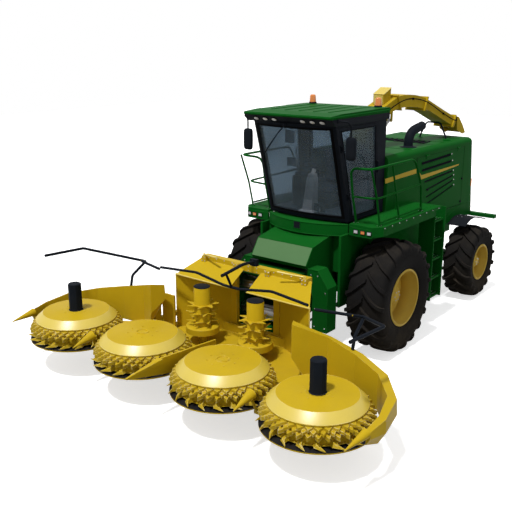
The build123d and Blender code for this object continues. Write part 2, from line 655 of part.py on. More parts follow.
def make_spout():
    # Blower column through the body's top, a turret that slews, a duct that lifts, and an end flap.
    column = block((spout_x - 200, spout_x + 200), (-230, 230), (body_bottom, 2800)) + rod(
        (spout_x, 0, 2780), (spout_x, 0, turret_z), 240)
    keep("spout_base", column)
    hinge_r, hinge_z = spout_hinge
    turret = rod((0, 0, turret_z + slip), (0, 0, turret_z + 60), 270)
    turret += block((-215, 185), (-170, 170), (turret_z + 50, 3105))
    for side in (1, -1):
        turret += block((hinge_r - 50, -100), sorted((side * 192, side * 212)), (turret_z + 30, hinge_z + 30))
        turret += block((180, spout_foot[0] + 40), sorted((side * 42, side * 60)), (turret_z + 20, 3120))
    # A pocket in the ring for the cylinder's foot, and the bores of both pins.
    turret -= block((spout_foot[0] - 60, spout_foot[0]), (-41, 41), (turret_z + 42, turret_z + 70))
    turret -= rod((hinge_r, -300, hinge_z), (hinge_r, 300, hinge_z), 20 + slip)
    turret -= rod((spout_foot[0], -80, spout_foot[1]), (spout_foot[0], 80, spout_foot[1]), 15 + slip)
    keep("spout_turret", spout_place * turret)
    duct = duct_solid(0, spout_half) - duct_solid(-sheet, spout_half - sheet)
    opened = spout_half - sheet
    duct -= block((duct_foot[0] + sheet + 2, duct_foot[1] - sheet), (-opened, opened), (hinge_z - 10, hinge_z + 30))
    # The tail's open end, cut square to its own line.
    tail = Pos(flap_hinge[0], 0, flap_hinge[1]) * Rot(0, duct_end_tilt, 0)
    duct -= tail * block((-40, 60), (-opened, opened), (-34 - 158, -34 - sheet - 1))
    # Flanges: place along the duct, and the lean of each.
    for reach, z, lean in ((680, 3757, -22), (1505, 3680, 17), (2480, 3310, duct_end_tilt)):
        plate = Pos(reach, 0, z) * Rot(0, lean, 0) * Box(24, 2 * spout_half + 70, 700)
        collar = plate & duct_solid(38, spout_half + 35)
        duct += collar - duct_solid(-1, spout_half - 1)
    # Upright stiffeners on the back, ahead of two of the flanges, and a box on the bend.
    duct += side_prism([(1000, 3865), (1500, 3778), (1500, 3826)], -6, 6)
    duct += side_prism([(2172, 3518), (2470, 3405), (2484, 3446)], -6, 6)
    duct += side_prism([(350, 3715), (350, 3900), (550, 4000), (550, 3800)], -110, 110)
    duct += block((hinge_r - 28, -205), (-180, 180), (hinge_z, hinge_z + 28))
    duct += rod((hinge_r, -212, hinge_z), (hinge_r, 212, hinge_z), 20)
    for side in (1, -1):
        lug = block((spout_eye[0] - 30, spout_eye[0] + 30), sorted((side * 32, side * 44)), (spout_eye[1] - 30, 3665))
        duct += lug - rod((spout_eye[0], -60, spout_eye[1]), (spout_eye[0], 60, spout_eye[1]), 16)
        duct += tail * block((-20, 12), sorted((side * 150, side * 165)), (-38, 18))
    duct += rod((flap_hinge[0], -165, flap_hinge[1]), (flap_hinge[0], 165, flap_hinge[1]), 9)
    keep("spout_duct", spout_place * duct)
    # Deflector flap: a bent hood with side cheeks, hung on the duct's end. Its own lengths run from the hinge.
    cover = side_prism([(-6, 10), (0, 17), (60, 8), (260, -84), (425, -190), (419, -198), (256, -92), (57, 0), (10, 6)],
                       -flap_half, flap_half)
    for low, high in ((-flap_half, -140), (140, flap_half)):
        cover -= block((-40, 54), (low - 1, high + 1), (-60, 60))
    cheek = [(30, 3), (60, 5), (260, -86), (423, -191), (330, -250), (110, -235), (40, -120)]
    flap = cover + rod((0, -145, 0), (0, 145, 0), 17)
    for side in (1, -1):
        flap += side_prism(cheek, *sorted((side * (flap_half - 6), side * flap_half)))
    flap -= rod((0, -200, 0), (0, 200, 0), 9 + slip)
    keep("spout_flap", spout_place * (tail * flap))
    barrel, piston = cylinder((spout_foot[0], 0, spout_foot[1]), (spout_eye[0], 0, spout_eye[1]), 330, 60, 0, 34, 18, 26, (0, 1, 0), 60)
    keep("spout_barrel", spout_place * barrel)
    keep("spout_rod", spout_place * piston)


def make_feeder():
    # The feed-roll housing that carries the header, and the two front feed rolls.
    side_outline = [(lift_x - 90, 1010), (lift_x - 90, lift_z + 110), (1500, 1440), (header_back_x - slip, 1440), (header_back_x - slip, 600), (1500, 600)]
    housing = side_prism(side_outline, -450, 450) - side_prism(
        [(700, 900), (700, 1270), (1500, 1425), (1900, 1425), (1900, 615), (1500, 615)], -435, 435)
    for side in (1, -1):
        housing += rod((lift_x, side * 440, lift_z), (lift_x, side * 520, lift_z), 45)
        for low, high in ((482, 492), (558, 568)):
            housing += block((lift_eye[0] - 35, lift_eye[0] + 35), sorted((side * low, side * high)), (lift_eye[1] - 30, 800))
        housing += block((lift_eye[0] - 35, lift_eye[0] + 35), sorted((side * 449, side * 568)), (790, 815))
        housing -= rod((lift_eye[0], side * 470, lift_eye[1]), (lift_eye[0], side * 580, lift_eye[1]), 16)
    keep("feed_housing", housing)
    barrels = []
    pistons = []
    for side in (1, -1):
        barrel, piston = cylinder((lift_foot[0], side * 525, lift_foot[1]), (lift_eye[0], side * 525, lift_eye[1]),
                                  820, 140, 60, 30, 20, 26, (0, side, 0), 68)
        barrels.append(barrel - block((0, 2000), sorted((side * 556, side * 700)), (0, 2000)))
        pistons.append(piston)
    keep("lift_barrels", *barrels)
    keep("lift_rods", *pistons)
    for name, x, z, radius, vanes in (("feed_roll_upper", 1620, 1190, 130, 10), ("feed_roll_lower", 1640, 800, 95, 8)):
        roll = rod((x, -425, z), (x, 425, z), radius) + rod((x, slip - 435, z), (x, 435 - slip, z), 40)
        for turn in range(vanes):
            angle = turn * 360 / vanes
            vane = Pos(x, 0, z) * (Rot(0, angle, 0) * (Pos(radius + 8, 0, 0) * Box(40, 840, 14)))
            roll += vane
        keep(name, roll)


def rotor(x, y, raised_hub, tube):
    # One cutting and gathering rotor: domed drum, saw rings in tiers, swept knives below.
    body = turned_z([(0, rotor_top), (rotor_flat_radius, rotor_top), (rotor_skirt_radius, rotor_skirt_z),
                     (rotor_skirt_radius, 705), (drum_skin, 690), (drum_skin, knife_z), (drum_skin - sheet, knife_z),
                     (drum_skin - sheet, 682), (rotor_skirt_radius - sheet, 697), (rotor_skirt_radius - sheet, rotor_skirt_z - 4),
                     (rotor_flat_radius - 3, rotor_top - sheet), (rotor_hub, rotor_top - sheet), (rotor_hub, knife_z), (0, knife_z)])
    # Saw ring tiers: height, root radius, tip radius, teeth.
    for z, root, tip, teeth in ((712, 590, 650, 30), (672, 600, 668, 30), (630, 610, 690, 30)):
        points = []
        for tooth in range(teeth):
            for share, radius in ((0.0, root), (0.5, tip)):
                angle = 2 * math.pi * (tooth + share) / teeth
                points.append((radius * math.cos(angle), radius * math.sin(angle)))
        body += plan_prism(points, z - 8, z) - Pos(0, 0, z) * Cylinder(drum_skin - 4, 40)
    points = []
    teeth = 16
    for tooth in range(teeth):
        for share, radius in ((0.0, 580), (0.45, 580), (0.95, knife_radius)):
            angle = 2 * math.pi * (tooth + share) / teeth
            points.append((radius * math.cos(angle), radius * math.sin(angle)))
    body += plan_prism(points, knife_z, knife_z + 12) - Pos(0, 0, knife_z) * Cylinder(500, 60)
    if raised_hub:
        body += turned_z([(0, rotor_top - 1), (95, rotor_top - 1), (85, rotor_top + 14), (0, rotor_top + 14)])
    if tube:
        body += turned_z([(0, rotor_top - 1), (99, rotor_top - 1), (99, rotor_top + 416), (0, rotor_top + 416)])
    return Pos(x, y, 0) * body


def make_rotors():
    inner = rotor(rotor_x, inner_rotor_y, True, False)
    outer = rotor(rotor_x, outer_rotor_y, False, True)
    keep("rotor_inner_left", inner)
    keep("rotor_inner_right", mirrored(inner))
    keep("rotor_outer_left", outer)
    keep("rotor_outer_right", mirrored(outer))
    drum = turned_z([(0, 1340), (120, 1340), (120, 741), (249, 741), (249, 640), (241, 640), (241, 733), (112, 733), (112, 1332),
                     (0, 1332)])
    drum += turned_z([(0, deck_z + slip), (60, deck_z + slip), (60, 737), (116, 737), (116, 741), (0, 741)])
    for z in (790, 920, 1050):
        points = []
        for tooth in range(8):
            for share, radius in ((0.0, 125), (0.5, 150), (0.9, 255), (0.95, 150)):
                angle = 2 * math.pi * (tooth + share) / 8
                points.append((radius * math.cos(angle), radius * math.sin(angle)))
        drum += plan_prism(points, z, z + 12)
    left = Pos(drum_x, drum_y, 0) * drum
    keep("feed_drum_left", left)
    keep("feed_drum_right", mirrored(left))


def cone(tip, base, radius):
    # A pointed divider from its base ring to its tip.
    a = Vector(*base)
    b = Vector(*tip)
    plane = Plane(origin=a, z_dir=(b - a).normalized())
    return loft([plane * Circle(radius), Plane(origin=b, z_dir=(b - a).normalized()) * Circle(6)])


def make_header():
    # Centre frame: beams, guide walls that funnel to the inlet, deck, dividers.
    back = header_back_x
    frame = block((back, back + 110), (-980, 980), (1500, 1600))
    frame += block((back, back + 110), (-1300, 1300), (deck_z - deck_thick, 600))
    for side in (1, -1):
        frame += block((back, back + 60), sorted((side * inlet_half, side * (inlet_half + 110))), (590, 1510))
        frame += plate_between((back + 40, side * (inlet_half + 100)), (2300, side * 1250), sheet, 465, 1330)
        top = [(back + 60, 1560), (2300, 1324), (2300, 1316), (back + 60, 1552)]
        cover = side_prism(top, *sorted((side * 160, side * 1250)))
        frame += cover & plan_prism([(back, side * 160), (back, side * 980), (2300, side * 1250), (2300, side * 160)], 1300, 1700)
        frame += cross_prism([(side * 1180, deck_z), (side * 1440, deck_z), (side * 1440, 880), (side * (fold_y + 55), 905),
                              (side * (fold_y + 55), fold_z + 60), (side * 1180, fold_z + 60)], 2400, 2430)
        frame += block((1942, 1962), sorted((side * 725, side * 795)), (595, fold_foot[1] + 35))
        frame -= rod((1930, side * fold_foot[0], fold_foot[1]), (1970, side * fold_foot[0], fold_foot[1]), 15 + slip)
    deck_points = [(back + 20, -1300), (2400, -1440), (rotor_x, -1440), (rotor_x, 1440), (2400, 1440), (back + 20, 1300)]
    deck = plan_prism(deck_points, deck_z - deck_thick, deck_z)
    for side in (1, -1):
        deck += Pos(rotor_x, side * inner_rotor_y, deck_z - deck_thick / 2) * Cylinder(skid_radius, deck_thick)
        deck += rod((rotor_x, side * inner_rotor_y, deck_z - 40), (rotor_x, side * inner_rotor_y, knife_z - slip), 130)
        deck += block((3300, 3710), sorted((side * 1430, side * 1494)), (deck_z - 50, deck_z - 1))
        deck += rod((3690, side * 1463, deck_z - 30), (3800, side * 1463, 660), 18)
        deck += cone((4143, side * 1473, 639), (3794, side * 1463, 725), 70)
    frame += deck
    for side in (1, -1):
        frame -= rod((2390, side * fold_y, fold_z), (2440, side * fold_y, fold_z), 25 + slip)
    ridge = side_prism([(2800, 720), (3872, 802), (4470, 730), (4470, 715), (3800, 560), (3300, deck_z - 2), (2800, deck_z - 2)], -14, 14)
    frame += ridge
    frame += loft([Plane(origin=(3872, 0, 770), z_dir=(1, 0, 0)) * Rectangle(60, 90, rotation=0),
                   Plane(origin=(4480, 0, 726), z_dir=(1, 0, 0)) * Rectangle(8, 8)])
    keep("header_frame", frame)
    bar = bent_rod([(back + 60, 0, 1660), (2190, 0, 1680), (2650, 0, 1620)], 22)
    bar += block((back + 40, back + 100), (-60, 60), (1600 + slip, 1700))
    cross = [(2505.5, -1365, 1456.25), (2420, -700, 1480), (2440, -150, 1400), (2440, 150, 1400), (2420, 700, 1480),
             (2505.5, 1365, 1456.25)]
    bar += bent_rod(cross, 15)
    bar += rod((2440, 0, 1400), (2560, 0, 1630), 15)
    keep("crop_bar", bar)


def make_wings():
    # A folding wing: hinge arms, deck, curved outer wall, outer divider and crop bar.
    def left_wing():
        wing = rod((2395, fold_y, fold_z), (2560, fold_y, fold_z), 25)
        wing += rod((2430 + running_gap, fold_y, fold_z), (2560, fold_y, fold_z), 58)
        wing += block((2430 + running_gap, 2560), (fold_y - 14, fold_y + 66), (deck_z - deck_thick, fold_z))
        wing += block((2034, 2480), (1468, 1530), (525, 595))
        wing += plan_prism([(2446, 1500), (rotor_x, 1500), (rotor_x, outer_rotor_y), (3200, 2700), (2446, 1750)],
                           deck_z - deck_thick, deck_z)
        wing += Pos(rotor_x, outer_rotor_y, deck_z - deck_thick / 2) * Cylinder(skid_radius, deck_thick)
        wing += rod((rotor_x, outer_rotor_y, deck_z - 40), (rotor_x, outer_rotor_y, knife_z - slip), 130)
        # The outer shell in plan: x, y, height of its top edge, width of its top, height of its lower edge.
        floor = deck_z - deck_thick
        stations = [(2790, 1312, 1260, 220, 800), (2679, 1500, 1190, 170, floor), (2560, 1720, 1110, 120, floor),
                    (2600, 2150, 1010, 140, floor), (2770, 2580, 930, 130, floor), (3100, 2890, 870, 110, floor),
                    (3450, 2985, 800, 80, floor), (3722, 2985, 750, 45, 560)]
        sections = []
        for index, (x, y, top, width, low) in enumerate(stations):
            before = stations[max(index - 1, 0)]
            after = stations[min(index + 1, len(stations) - 1)]
            dx = after[0] - before[0]
            dy = after[1] - before[1]
            out_x = -dy / math.hypot(dx, dy)
            out_y = dx / math.hypot(dx, dy)
            # Distance outward and height of each corner of the section.
            corners = [(0, low), (0, top), (width, top - 30), (width + 12, top - 0.55 * (top - low))]
            sections.append(make_face(Polyline(*[(x + out_x * away, y + out_y * away, z) for away, z in corners], close=True)))
        wing += loft(sections, ruled=True)
        wing += cone((4117, 2963, 664), (3715, 2985, 700), 60)
        bar = bent_rod([(2460, 1450, 1400), (2360, 1950, 1409), (2203, 2028, 1357), (2906, 2700, 1610), (3630, 2690, 1650)], 15)
        bar += bent_rod([(2203, 2028, 1357), (2470, 2060, 1180), (2520, 2060, 970)], 15)
        return wing + bar
    wing = left_wing()
    keep("wing_left", wing)
    keep("wing_right", mirrored(wing))
    barrel, piston = cylinder((fold_cylinder_x, fold_foot[0], fold_foot[1]), (fold_cylinder_x, fold_eye[0], fold_eye[1]),
                              480, 35, 0, 27, 14, 22, (1, 0, 0), 50)
    barrel -= block((fold_cylinder_x + 28, fold_cylinder_x + 80), (600, 1000), (500, 800))
    keep("fold_barrel_left", barrel)
    keep("fold_rod_left", piston)
    keep("fold_barrel_right", mirrored(barrel))
    keep("fold_rod_right", mirrored(piston))


make_wheels()
make_axles()
make_frame()
make_hood()
make_nose()
make_cab()
make_roof_fittings()
make_platforms()
make_rear()
make_spout()
make_feeder()
make_rotors()
make_header()
make_wings()

os.makedirs("parts", exist_ok=True)
corners = [solid.bounding_box() for solids in nodes.values() for solid in solids]
low_x = min(corner.min.X for corner in corners)
high_x = max(corner.max.X for corner in corners)
low_z = min(corner.min.Z for corner in corners)
shift = Pos(-(low_x + high_x) / 2, 0, 0)
for name, solids in nodes.items():
    placed = [shift * solid for solid in solids]
    piece = placed[0] if len(placed) == 1 else Compound(placed)
    export_step(piece, os.path.join("parts", name + ".step"))
print("pieces", len(nodes), "shift", -(low_x + high_x) / 2, "lowest", low_z, "x", low_x, high_x)
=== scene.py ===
# A self-propelled forage harvester with a four-rotor maize header: finishes and fine pieces
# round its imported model. Metres. +X is forward, +Y is the machine's left, +Z is up.
import math

import bmesh
import bpy
import numpy as np
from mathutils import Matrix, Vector


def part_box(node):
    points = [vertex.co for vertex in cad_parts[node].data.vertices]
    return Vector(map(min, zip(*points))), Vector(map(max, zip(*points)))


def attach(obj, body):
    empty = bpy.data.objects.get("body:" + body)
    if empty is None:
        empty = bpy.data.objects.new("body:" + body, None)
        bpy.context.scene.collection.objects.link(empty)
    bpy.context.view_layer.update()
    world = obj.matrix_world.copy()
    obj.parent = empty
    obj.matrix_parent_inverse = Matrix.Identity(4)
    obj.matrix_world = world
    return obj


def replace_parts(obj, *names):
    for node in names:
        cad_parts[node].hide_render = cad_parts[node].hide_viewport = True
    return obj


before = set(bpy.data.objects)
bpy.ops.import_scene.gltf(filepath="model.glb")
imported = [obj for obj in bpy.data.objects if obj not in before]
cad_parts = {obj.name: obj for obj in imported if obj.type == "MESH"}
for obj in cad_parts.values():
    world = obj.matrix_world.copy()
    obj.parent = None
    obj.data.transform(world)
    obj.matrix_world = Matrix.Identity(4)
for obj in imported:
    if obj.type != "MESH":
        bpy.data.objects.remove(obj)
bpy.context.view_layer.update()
print("packed model loaded:", len(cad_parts), "nodes")

axleX = float(sum(corner[0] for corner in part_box("front_rim_left"))) / 2  # the front axle's place
full = 2 * math.pi
sides = (("left", 1), ("right", -1))


# Shapes. Each function gives points and faces.
def gridFaces(rows, columns, joinRows=False, joinColumns=False):
    # Four-sided faces between neighbours of a grid of points; its ends may join.
    r = np.arange(rows if joinRows else rows - 1)[:, None]
    c = np.arange(columns if joinColumns else columns - 1)[None, :]
    nextR, nextC = (r + 1) % rows, (c + 1) % columns
    quads = np.stack([r * columns + c, r * columns + nextC,
                      nextR * columns + nextC, nextR * columns + c], axis=-1)
    return quads.reshape(-1, 4).tolist()


def unit(vectors):
    # Vectors divided by their lengths.
    return vectors / (np.linalg.norm(vectors, axis=-1, keepdims=True) + 1e-12)


def ringStack(rings):
    # Closed rings of points one after another, with a flat face on each end.
    count, around = rings.shape[:2]
    faces = gridFaces(count, around, False, True)
    faces.append(list(range(around)))
    faces.append(list(range((count - 1) * around, count * around)))
    return rings.reshape(-1, 3), faces


def gather(shapes):
    # Several shapes as one.
    points, faces, first = [], [], 0
    for shapePoints, shapeFaces in shapes:
        points.append(np.asarray(shapePoints, float).reshape(-1, 3))
        faces += [[index + first for index in face] for face in shapeFaces]
        first += len(points[-1])
    return np.concatenate(points), faces


def mirrored(shape):
    # The same shape on the other side of the machine.
    return shape[0] * np.array([1.0, -1.0, 1.0]), shape[1]


def toSide(shape, sign):
    # A left side shape as it is for sign 1, and its mirror image for sign -1.
    return shape if sign > 0 else mirrored(shape)


def bothSides(shape):
    # A left side shape together with its mirror image.
    return gather([shape, mirrored(shape)])


def moved(shape, offset):
    # The shape's points plus an offset.
    return shape[0] + np.asarray(offset, float), shape[1]


def fromAxle(points):
    # Points measured from the front axle's x, in the frame.
    return np.asarray(points, float) + (axleX, 0, 0)


def smoothLine(points, perSpan=6):
    # A smooth curve through points: on each span a cubic whose end slopes are half the
    # difference of the neighbours on both sides.
    points = np.asarray(points, float)
    padded = np.concatenate([2 * points[:1] - points[1:2], points, 2 * points[-1:] - points[-2:-1]])
    slopes = (padded[2:] - padded[:-2]) / 2
    starts, ends = points[:-1], points[1:]
    startSlopes, endSlopes = slopes[:-1], slopes[1:]
    t = (np.arange(perSpan) / perSpan)[None, :, None]
    curve = ((2 * t**3 - 3 * t**2 + 1) * starts[:, None] + (t**3 - 2 * t**2 + t) * startSlopes[:, None]
             + (3 * t**2 - 2 * t**3) * ends[:, None] + (t**3 - t**2) * endSlopes[:, None])
    return np.concatenate([curve.reshape(-1, points.shape[1]), points[-1:]])


def turned(profile, centre, axis="z", count=64):
    # A closed outline of (radius, distance along the axis) carried once round the axis.
    profile = np.asarray(profile, float)
    angle = (np.arange(count) / count * full)[:, None]
    radius, along = profile[None, :, 0], profile[None, :, 1]
    flat = np.broadcast_to(along, (count, len(profile)))
    one, two = radius * np.cos(angle), radius * np.sin(angle)
    order = {"z": (one, two, flat), "y": (one, flat, two), "x": (flat, one, two)}[axis]
    points = np.stack(order, axis=-1) + np.asarray(centre, float)
    return points.reshape(-1, 3), gridFaces(count, len(profile), True, True)


def tube(path, radius, sides=12):
    # A round bar along a path: circles square to its run, and flat ends.
    path = np.asarray(path, float)
    run = unit(np.gradient(path, axis=0))
    square = np.linalg.svd(run)[2][-1]  # the direction most square to the whole run
    first = unit(np.cross(run, square))
    second = np.cross(run, first)
    turn = (np.arange(sides) / sides * full)[None, :, None]
    radius = np.broadcast_to(np.asarray(radius, float), (len(path),))[:, None, None]
    return ringStack(path[:, None] + radius * (np.cos(turn) * first[:, None]
                                               + np.sin(turn) * second[:, None]))


def swept(section, path, up):
    # A closed section of (sideways, upward) offsets carried along a path.
    path, section = np.asarray(path, float), np.asarray(section, float)
    run = unit(np.gradient(path, axis=0))
    side = unit(np.cross(run, np.asarray(up, float)))
    rise = np.cross(side, run)
    return ringStack(path[:, None] + section[None, :, :1] * side[:, None]
                     + section[None, :, 1:] * rise[:, None])


def bentBar(corners, radius, sides=12):
    # Straight round bars between corners, with a ball in each corner.
    shapes = [tube(np.linspace(a, b, 3), radius, sides) for a, b in zip(corners[:-1], corners[1:])]
    shapes += [ball(corner, radius, sides) for corner in corners[1:-1]]
    return gather(shapes)


def ball(centre, radius, sides=12, flatten=(1, 1, 1)):
    # A ball: circles of latitude from pole to pole.
    rise = np.linspace(-math.pi / 2, math.pi / 2, sides // 2 + 1)[:, None]
    turn = (np.arange(sides) / sides * full)[None, :]
    rings = np.stack([np.cos(rise) * np.cos(turn), np.cos(rise) * np.sin(turn),
                      np.sin(rise) * np.ones_like(turn)], axis=-1)
    return ringStack(rings * radius * np.asarray(flatten, float) + np.asarray(centre, float))


def plate(outline, thickness):
    # A flat outline of points, given a thickness vector.
    outline = np.asarray(outline, float)
    return ringStack(np.stack([outline, outline + np.asarray(thickness, float)]))


def sidePlate(outline, low, high):
    # An outline of (x, z) points stretched across the machine.
    outline = np.asarray(outline, float)
    flat = np.stack([outline[:, 0], np.full(len(outline), low), outline[:, 1]], axis=-1)
    return plate(flat, (0, high - low, 0))


def planPlate(outline, low, high):
    # An outline of (x, y) points stretched upward.
    outline = np.asarray(outline, float)
    flat = np.stack([outline[:, 0], outline[:, 1], np.full(len(outline), low)], axis=-1)
    return plate(flat, (0, 0, high - low))


def block(low, high):
    # A box between two corners.
    return planPlate([(low[0], low[1]), (high[0], low[1]), (high[0], high[1]), (low[0], high[1])],
                     low[2], high[2])


def boxAt(x, y, z):
    # A box measured from the front axle's x: its low and high end in x, y and z.
    return block(fromAxle((x[0], y[0], z[0])), fromAxle((x[1], y[1], z[1])))


def walled(grid, thick):
    # A surface given a wall: its points, the same points moved along the surface's normal,
    # and a rim that closes the edges.
    grid = np.asarray(grid, float)
    normal = unit(np.cross(np.gradient(grid, axis=0), np.gradient(grid, axis=1)))
    rings = np.concatenate([grid, (grid + normal * thick)[:, ::-1]], axis=1)
    rows, around = rings.shape[:2]
    faces = gridFaces(rows, around, False, True)
    j = np.arange(around // 2 - 1)
    for row in (0, rows - 1):
        faces += (np.stack([j, j + 1, around - 2 - j, around - 1 - j], axis=-1) + row * around).tolist()
    return rings.reshape(-1, 3), faces


def boltHeads(centres, outward, radius, height, sides=6):
    # Bolt heads: on each centre a short many-sided bar with a chamfered top.
    centres = np.asarray(centres, float).reshape(-1, 3)
    outward = unit(np.asarray(outward, float))
    side = unit(np.cross(outward, [0.31, 0.52, 0.79]))
    other = np.cross(outward, side)
    turn = (np.arange(sides) / sides * full)[:, None]
    circle = np.cos(turn) * side + np.sin(turn) * other
    stack = [(1.0, -0.2), (1.0, 0.75), (0.82, 1.0)]
    rings = np.stack([circle * radius * wide + outward * height * tall for wide, tall in stack])
    points, faces = ringStack(rings)
    return gather([(points + centre, faces) for centre in centres])


def piece(name, body, finish, shape, smooth=35, bevel=0.0, segments=2):
    # A finished piece: its mesh with outward faces, its finish, and the body that it rides on.
    points, faces = shape
    mesh = bpy.data.meshes.new(name)
    mesh.from_pydata(np.asarray(points, float).reshape(-1, 3).tolist(), [], faces)
    clean = bmesh.new()
    clean.from_mesh(mesh)
    bmesh.ops.remove_doubles(clean, verts=clean.verts, dist=1e-5)
    bmesh.ops.recalc_face_normals(clean, faces=clean.faces)
    clean.to_mesh(mesh)
    clean.free()
    mesh.polygons.foreach_set("use_smooth", np.ones(len(mesh.polygons), bool))
    if not bevel:
        mesh.set_sharp_from_angle(angle=math.radians(smooth))
    mesh.materials.append(finishes[finish])
    item = bpy.data.objects.new(name, mesh)
    bpy.context.scene.collection.objects.link(item)
    if bevel:
        rounding = item.modifiers.new("rounded edges", "BEVEL")
        rounding.width = bevel
        rounding.segments = segments
        rounding.limit_method = "ANGLE"
        rounding.angle_limit = math.radians(smooth)
        rounding.harden_normals = True
    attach(item, body)
    return item


# Finishes.
def groupTree(name, inputs, outputs):
    # A shader node group with named inputs and outputs.
    tree = bpy.data.node_groups.new(name, "ShaderNodeTree")
    for label, kind, value in inputs:
        socket = tree.interface.new_socket(name=label, in_out="INPUT", socket_type="NodeSocket" + kind)
        if value is not None:
            socket.default_value = value
    for label, kind in outputs:
        tree.interface.new_socket(name=label, in_out="OUTPUT", socket_type="NodeSocket" + kind)
    return tree, tree.nodes.new("NodeGroupInput"), tree.nodes.new("NodeGroupOutput")


def math2(tree, operation, first, second=None, third=None, clamp=False):
    # A Math node whose inputs are numbers or other nodes' outputs.
    node = tree.nodes.new("ShaderNodeMath")
    node.operation = operation
    node.use_clamp = clamp
    for socket, value in zip(node.inputs, (first, second, third)):
        if value is None:
            continue
        if isinstance(value, (int, float)):
            socket.default_value = value
        else:
            tree.links.new(value, socket)
    return node.outputs[0]


def noise(tree, point, scale, detail=3.0, rough=0.55):
    # A noise texture's value at a point.
    node = tree.nodes.new("ShaderNodeTexNoise")
    node.inputs["Detail"].default_value = detail
    node.inputs["Roughness"].default_value = rough
    tree.links.new(point, node.inputs["Vector"])
    if isinstance(scale, (int, float)):
        node.inputs["Scale"].default_value = scale
    else:
        tree.links.new(scale, node.inputs["Scale"])
    return node.outputs[0]


def blendColour(tree, share, first, second):
    # The first colour where the share is 0, the second where it is 1.
    node = tree.nodes.new("ShaderNodeMix")
    node.data_type = "RGBA"
    for socket, value in zip((node.inputs[0], node.inputs[6], node.inputs[7]), (share, first, second)):
        if isinstance(value, (int, float)):
            socket.default_value = value
        elif isinstance(value, tuple):
            socket.default_value = (*value, 1.0)
        else:
            tree.links.new(value, socket)
    return node.outputs[2]


def stepUp(tree, value, low, high):
    # 0 below low, 1 above high, and a smooth rise between.
    node = tree.nodes.new("ShaderNodeMapRange")
    node.interpolation_type = "SMOOTHSTEP"
    tree.links.new(value, node.inputs["Value"])
    for label, limit in (("From Min", low), ("From Max", high)):
        if isinstance(limit, (int, float)):
            node.inputs[label].default_value = limit
        else:
            tree.links.new(limit, node.inputs[label])
    return node.outputs[0]


def makeMottle():
    # Uneven colour: the colour times one plus the amount times a centred noise, on two scales.
    tree, source, sink = groupTree("mottled colour", [
        ("Point", "Vector", None), ("Colour", "Color", None), ("Scale", "Float", 2.0),
        ("Amount", "Float", 0.1)],
        [("Colour", "Color"), ("Height", "Float")])
    broad = noise(tree, source.outputs["Point"], source.outputs["Scale"], 4.0)
    fine = noise(tree, source.outputs["Point"], math2(tree, "MULTIPLY", source.outputs["Scale"], 24.0), 2.0)
    mixed = math2(tree, "ADD", math2(tree, "MULTIPLY", broad, 0.7), math2(tree, "MULTIPLY", fine, 0.3))
    centred = math2(tree, "MULTIPLY", math2(tree, "SUBTRACT", mixed, 0.5), 4.0)
    factor = math2(tree, "MULTIPLY_ADD", centred, source.outputs["Amount"], 1.0)
    scaled = tree.nodes.new("ShaderNodeVectorMath")
    scaled.operation = "SCALE"
    tree.links.new(source.outputs["Colour"], scaled.inputs[0])
    tree.links.new(factor, scaled.inputs["Scale"])
    tree.links.new(scaled.outputs[0], sink.inputs["Colour"])
    tree.links.new(fine, sink.inputs["Height"])
    return tree


def makeWear():
    # Edge wear: where a rounded normal leaves the true one, broken up by noise.
    tree, source, sink = groupTree("edge wear", [
        ("Point", "Vector", None), ("Width", "Float", 0.01), ("Amount", "Float", 0.5)], [("Mask", "Float")])
    rounded = tree.nodes.new("ShaderNodeBevel")
    rounded.samples = 3
    tree.links.new(source.outputs["Width"], rounded.inputs["Radius"])
    plain = tree.nodes.new("ShaderNodeNewGeometry")
    dot = tree.nodes.new("ShaderNodeVectorMath")
    dot.operation = "DOT_PRODUCT"
    tree.links.new(rounded.outputs[0], dot.inputs[0])
    tree.links.new(plain.outputs["Normal"], dot.inputs[1])
    edge = math2(tree, "MULTIPLY", math2(tree, "SUBTRACT", 1.0, dot.outputs["Value"]), 6.0, clamp=True)
    patchy = stepUp(tree, noise(tree, source.outputs["Point"], 9.0, 5.0, 0.7), 0.42, 0.62)
    mask = math2(tree, "MULTIPLY", math2(tree, "MULTIPLY", edge, patchy), source.outputs["Amount"],
                 clamp=True)
    tree.links.new(mask, sink.inputs["Mask"])
    return tree


def makeDust():
    # Dust: more on what faces up and on what is low, broken up by noise.
    tree, source, sink = groupTree("settled dust", [
        ("Point", "Vector", None), ("Amount", "Float", 0.2), ("Low", "Float", 1.2)], [("Mask", "Float")])
    parts = tree.nodes.new("ShaderNodeSeparateXYZ")
    tree.links.new(source.outputs["Point"], parts.inputs[0])
    plain = tree.nodes.new("ShaderNodeNewGeometry")
    facing = tree.nodes.new("ShaderNodeSeparateXYZ")
    tree.links.new(plain.outputs["Normal"], facing.inputs[0])
    level = stepUp(tree, facing.outputs[2], 0.3, 1.0)
    low = math2(tree, "SUBTRACT", 1.0, stepUp(tree, parts.outputs[2], 0.1, source.outputs["Low"]))
    cloud = stepUp(tree, noise(tree, source.outputs["Point"], 3.1, 5.0, 0.65), 0.35, 0.7)
    where = math2(tree, "ADD", math2(tree, "MULTIPLY", level, 0.5), math2(tree, "MULTIPLY", low, 0.8))
    mask = math2(tree, "MULTIPLY", math2(tree, "MULTIPLY", where, math2(tree, "ADD", cloud, 0.35)),
                 source.outputs["Amount"], clamp=True)
    tree.links.new(mask, sink.inputs["Mask"])
    return tree


groups = {"mottle": makeMottle(), "wear": makeWear(), "dust": makeDust()}

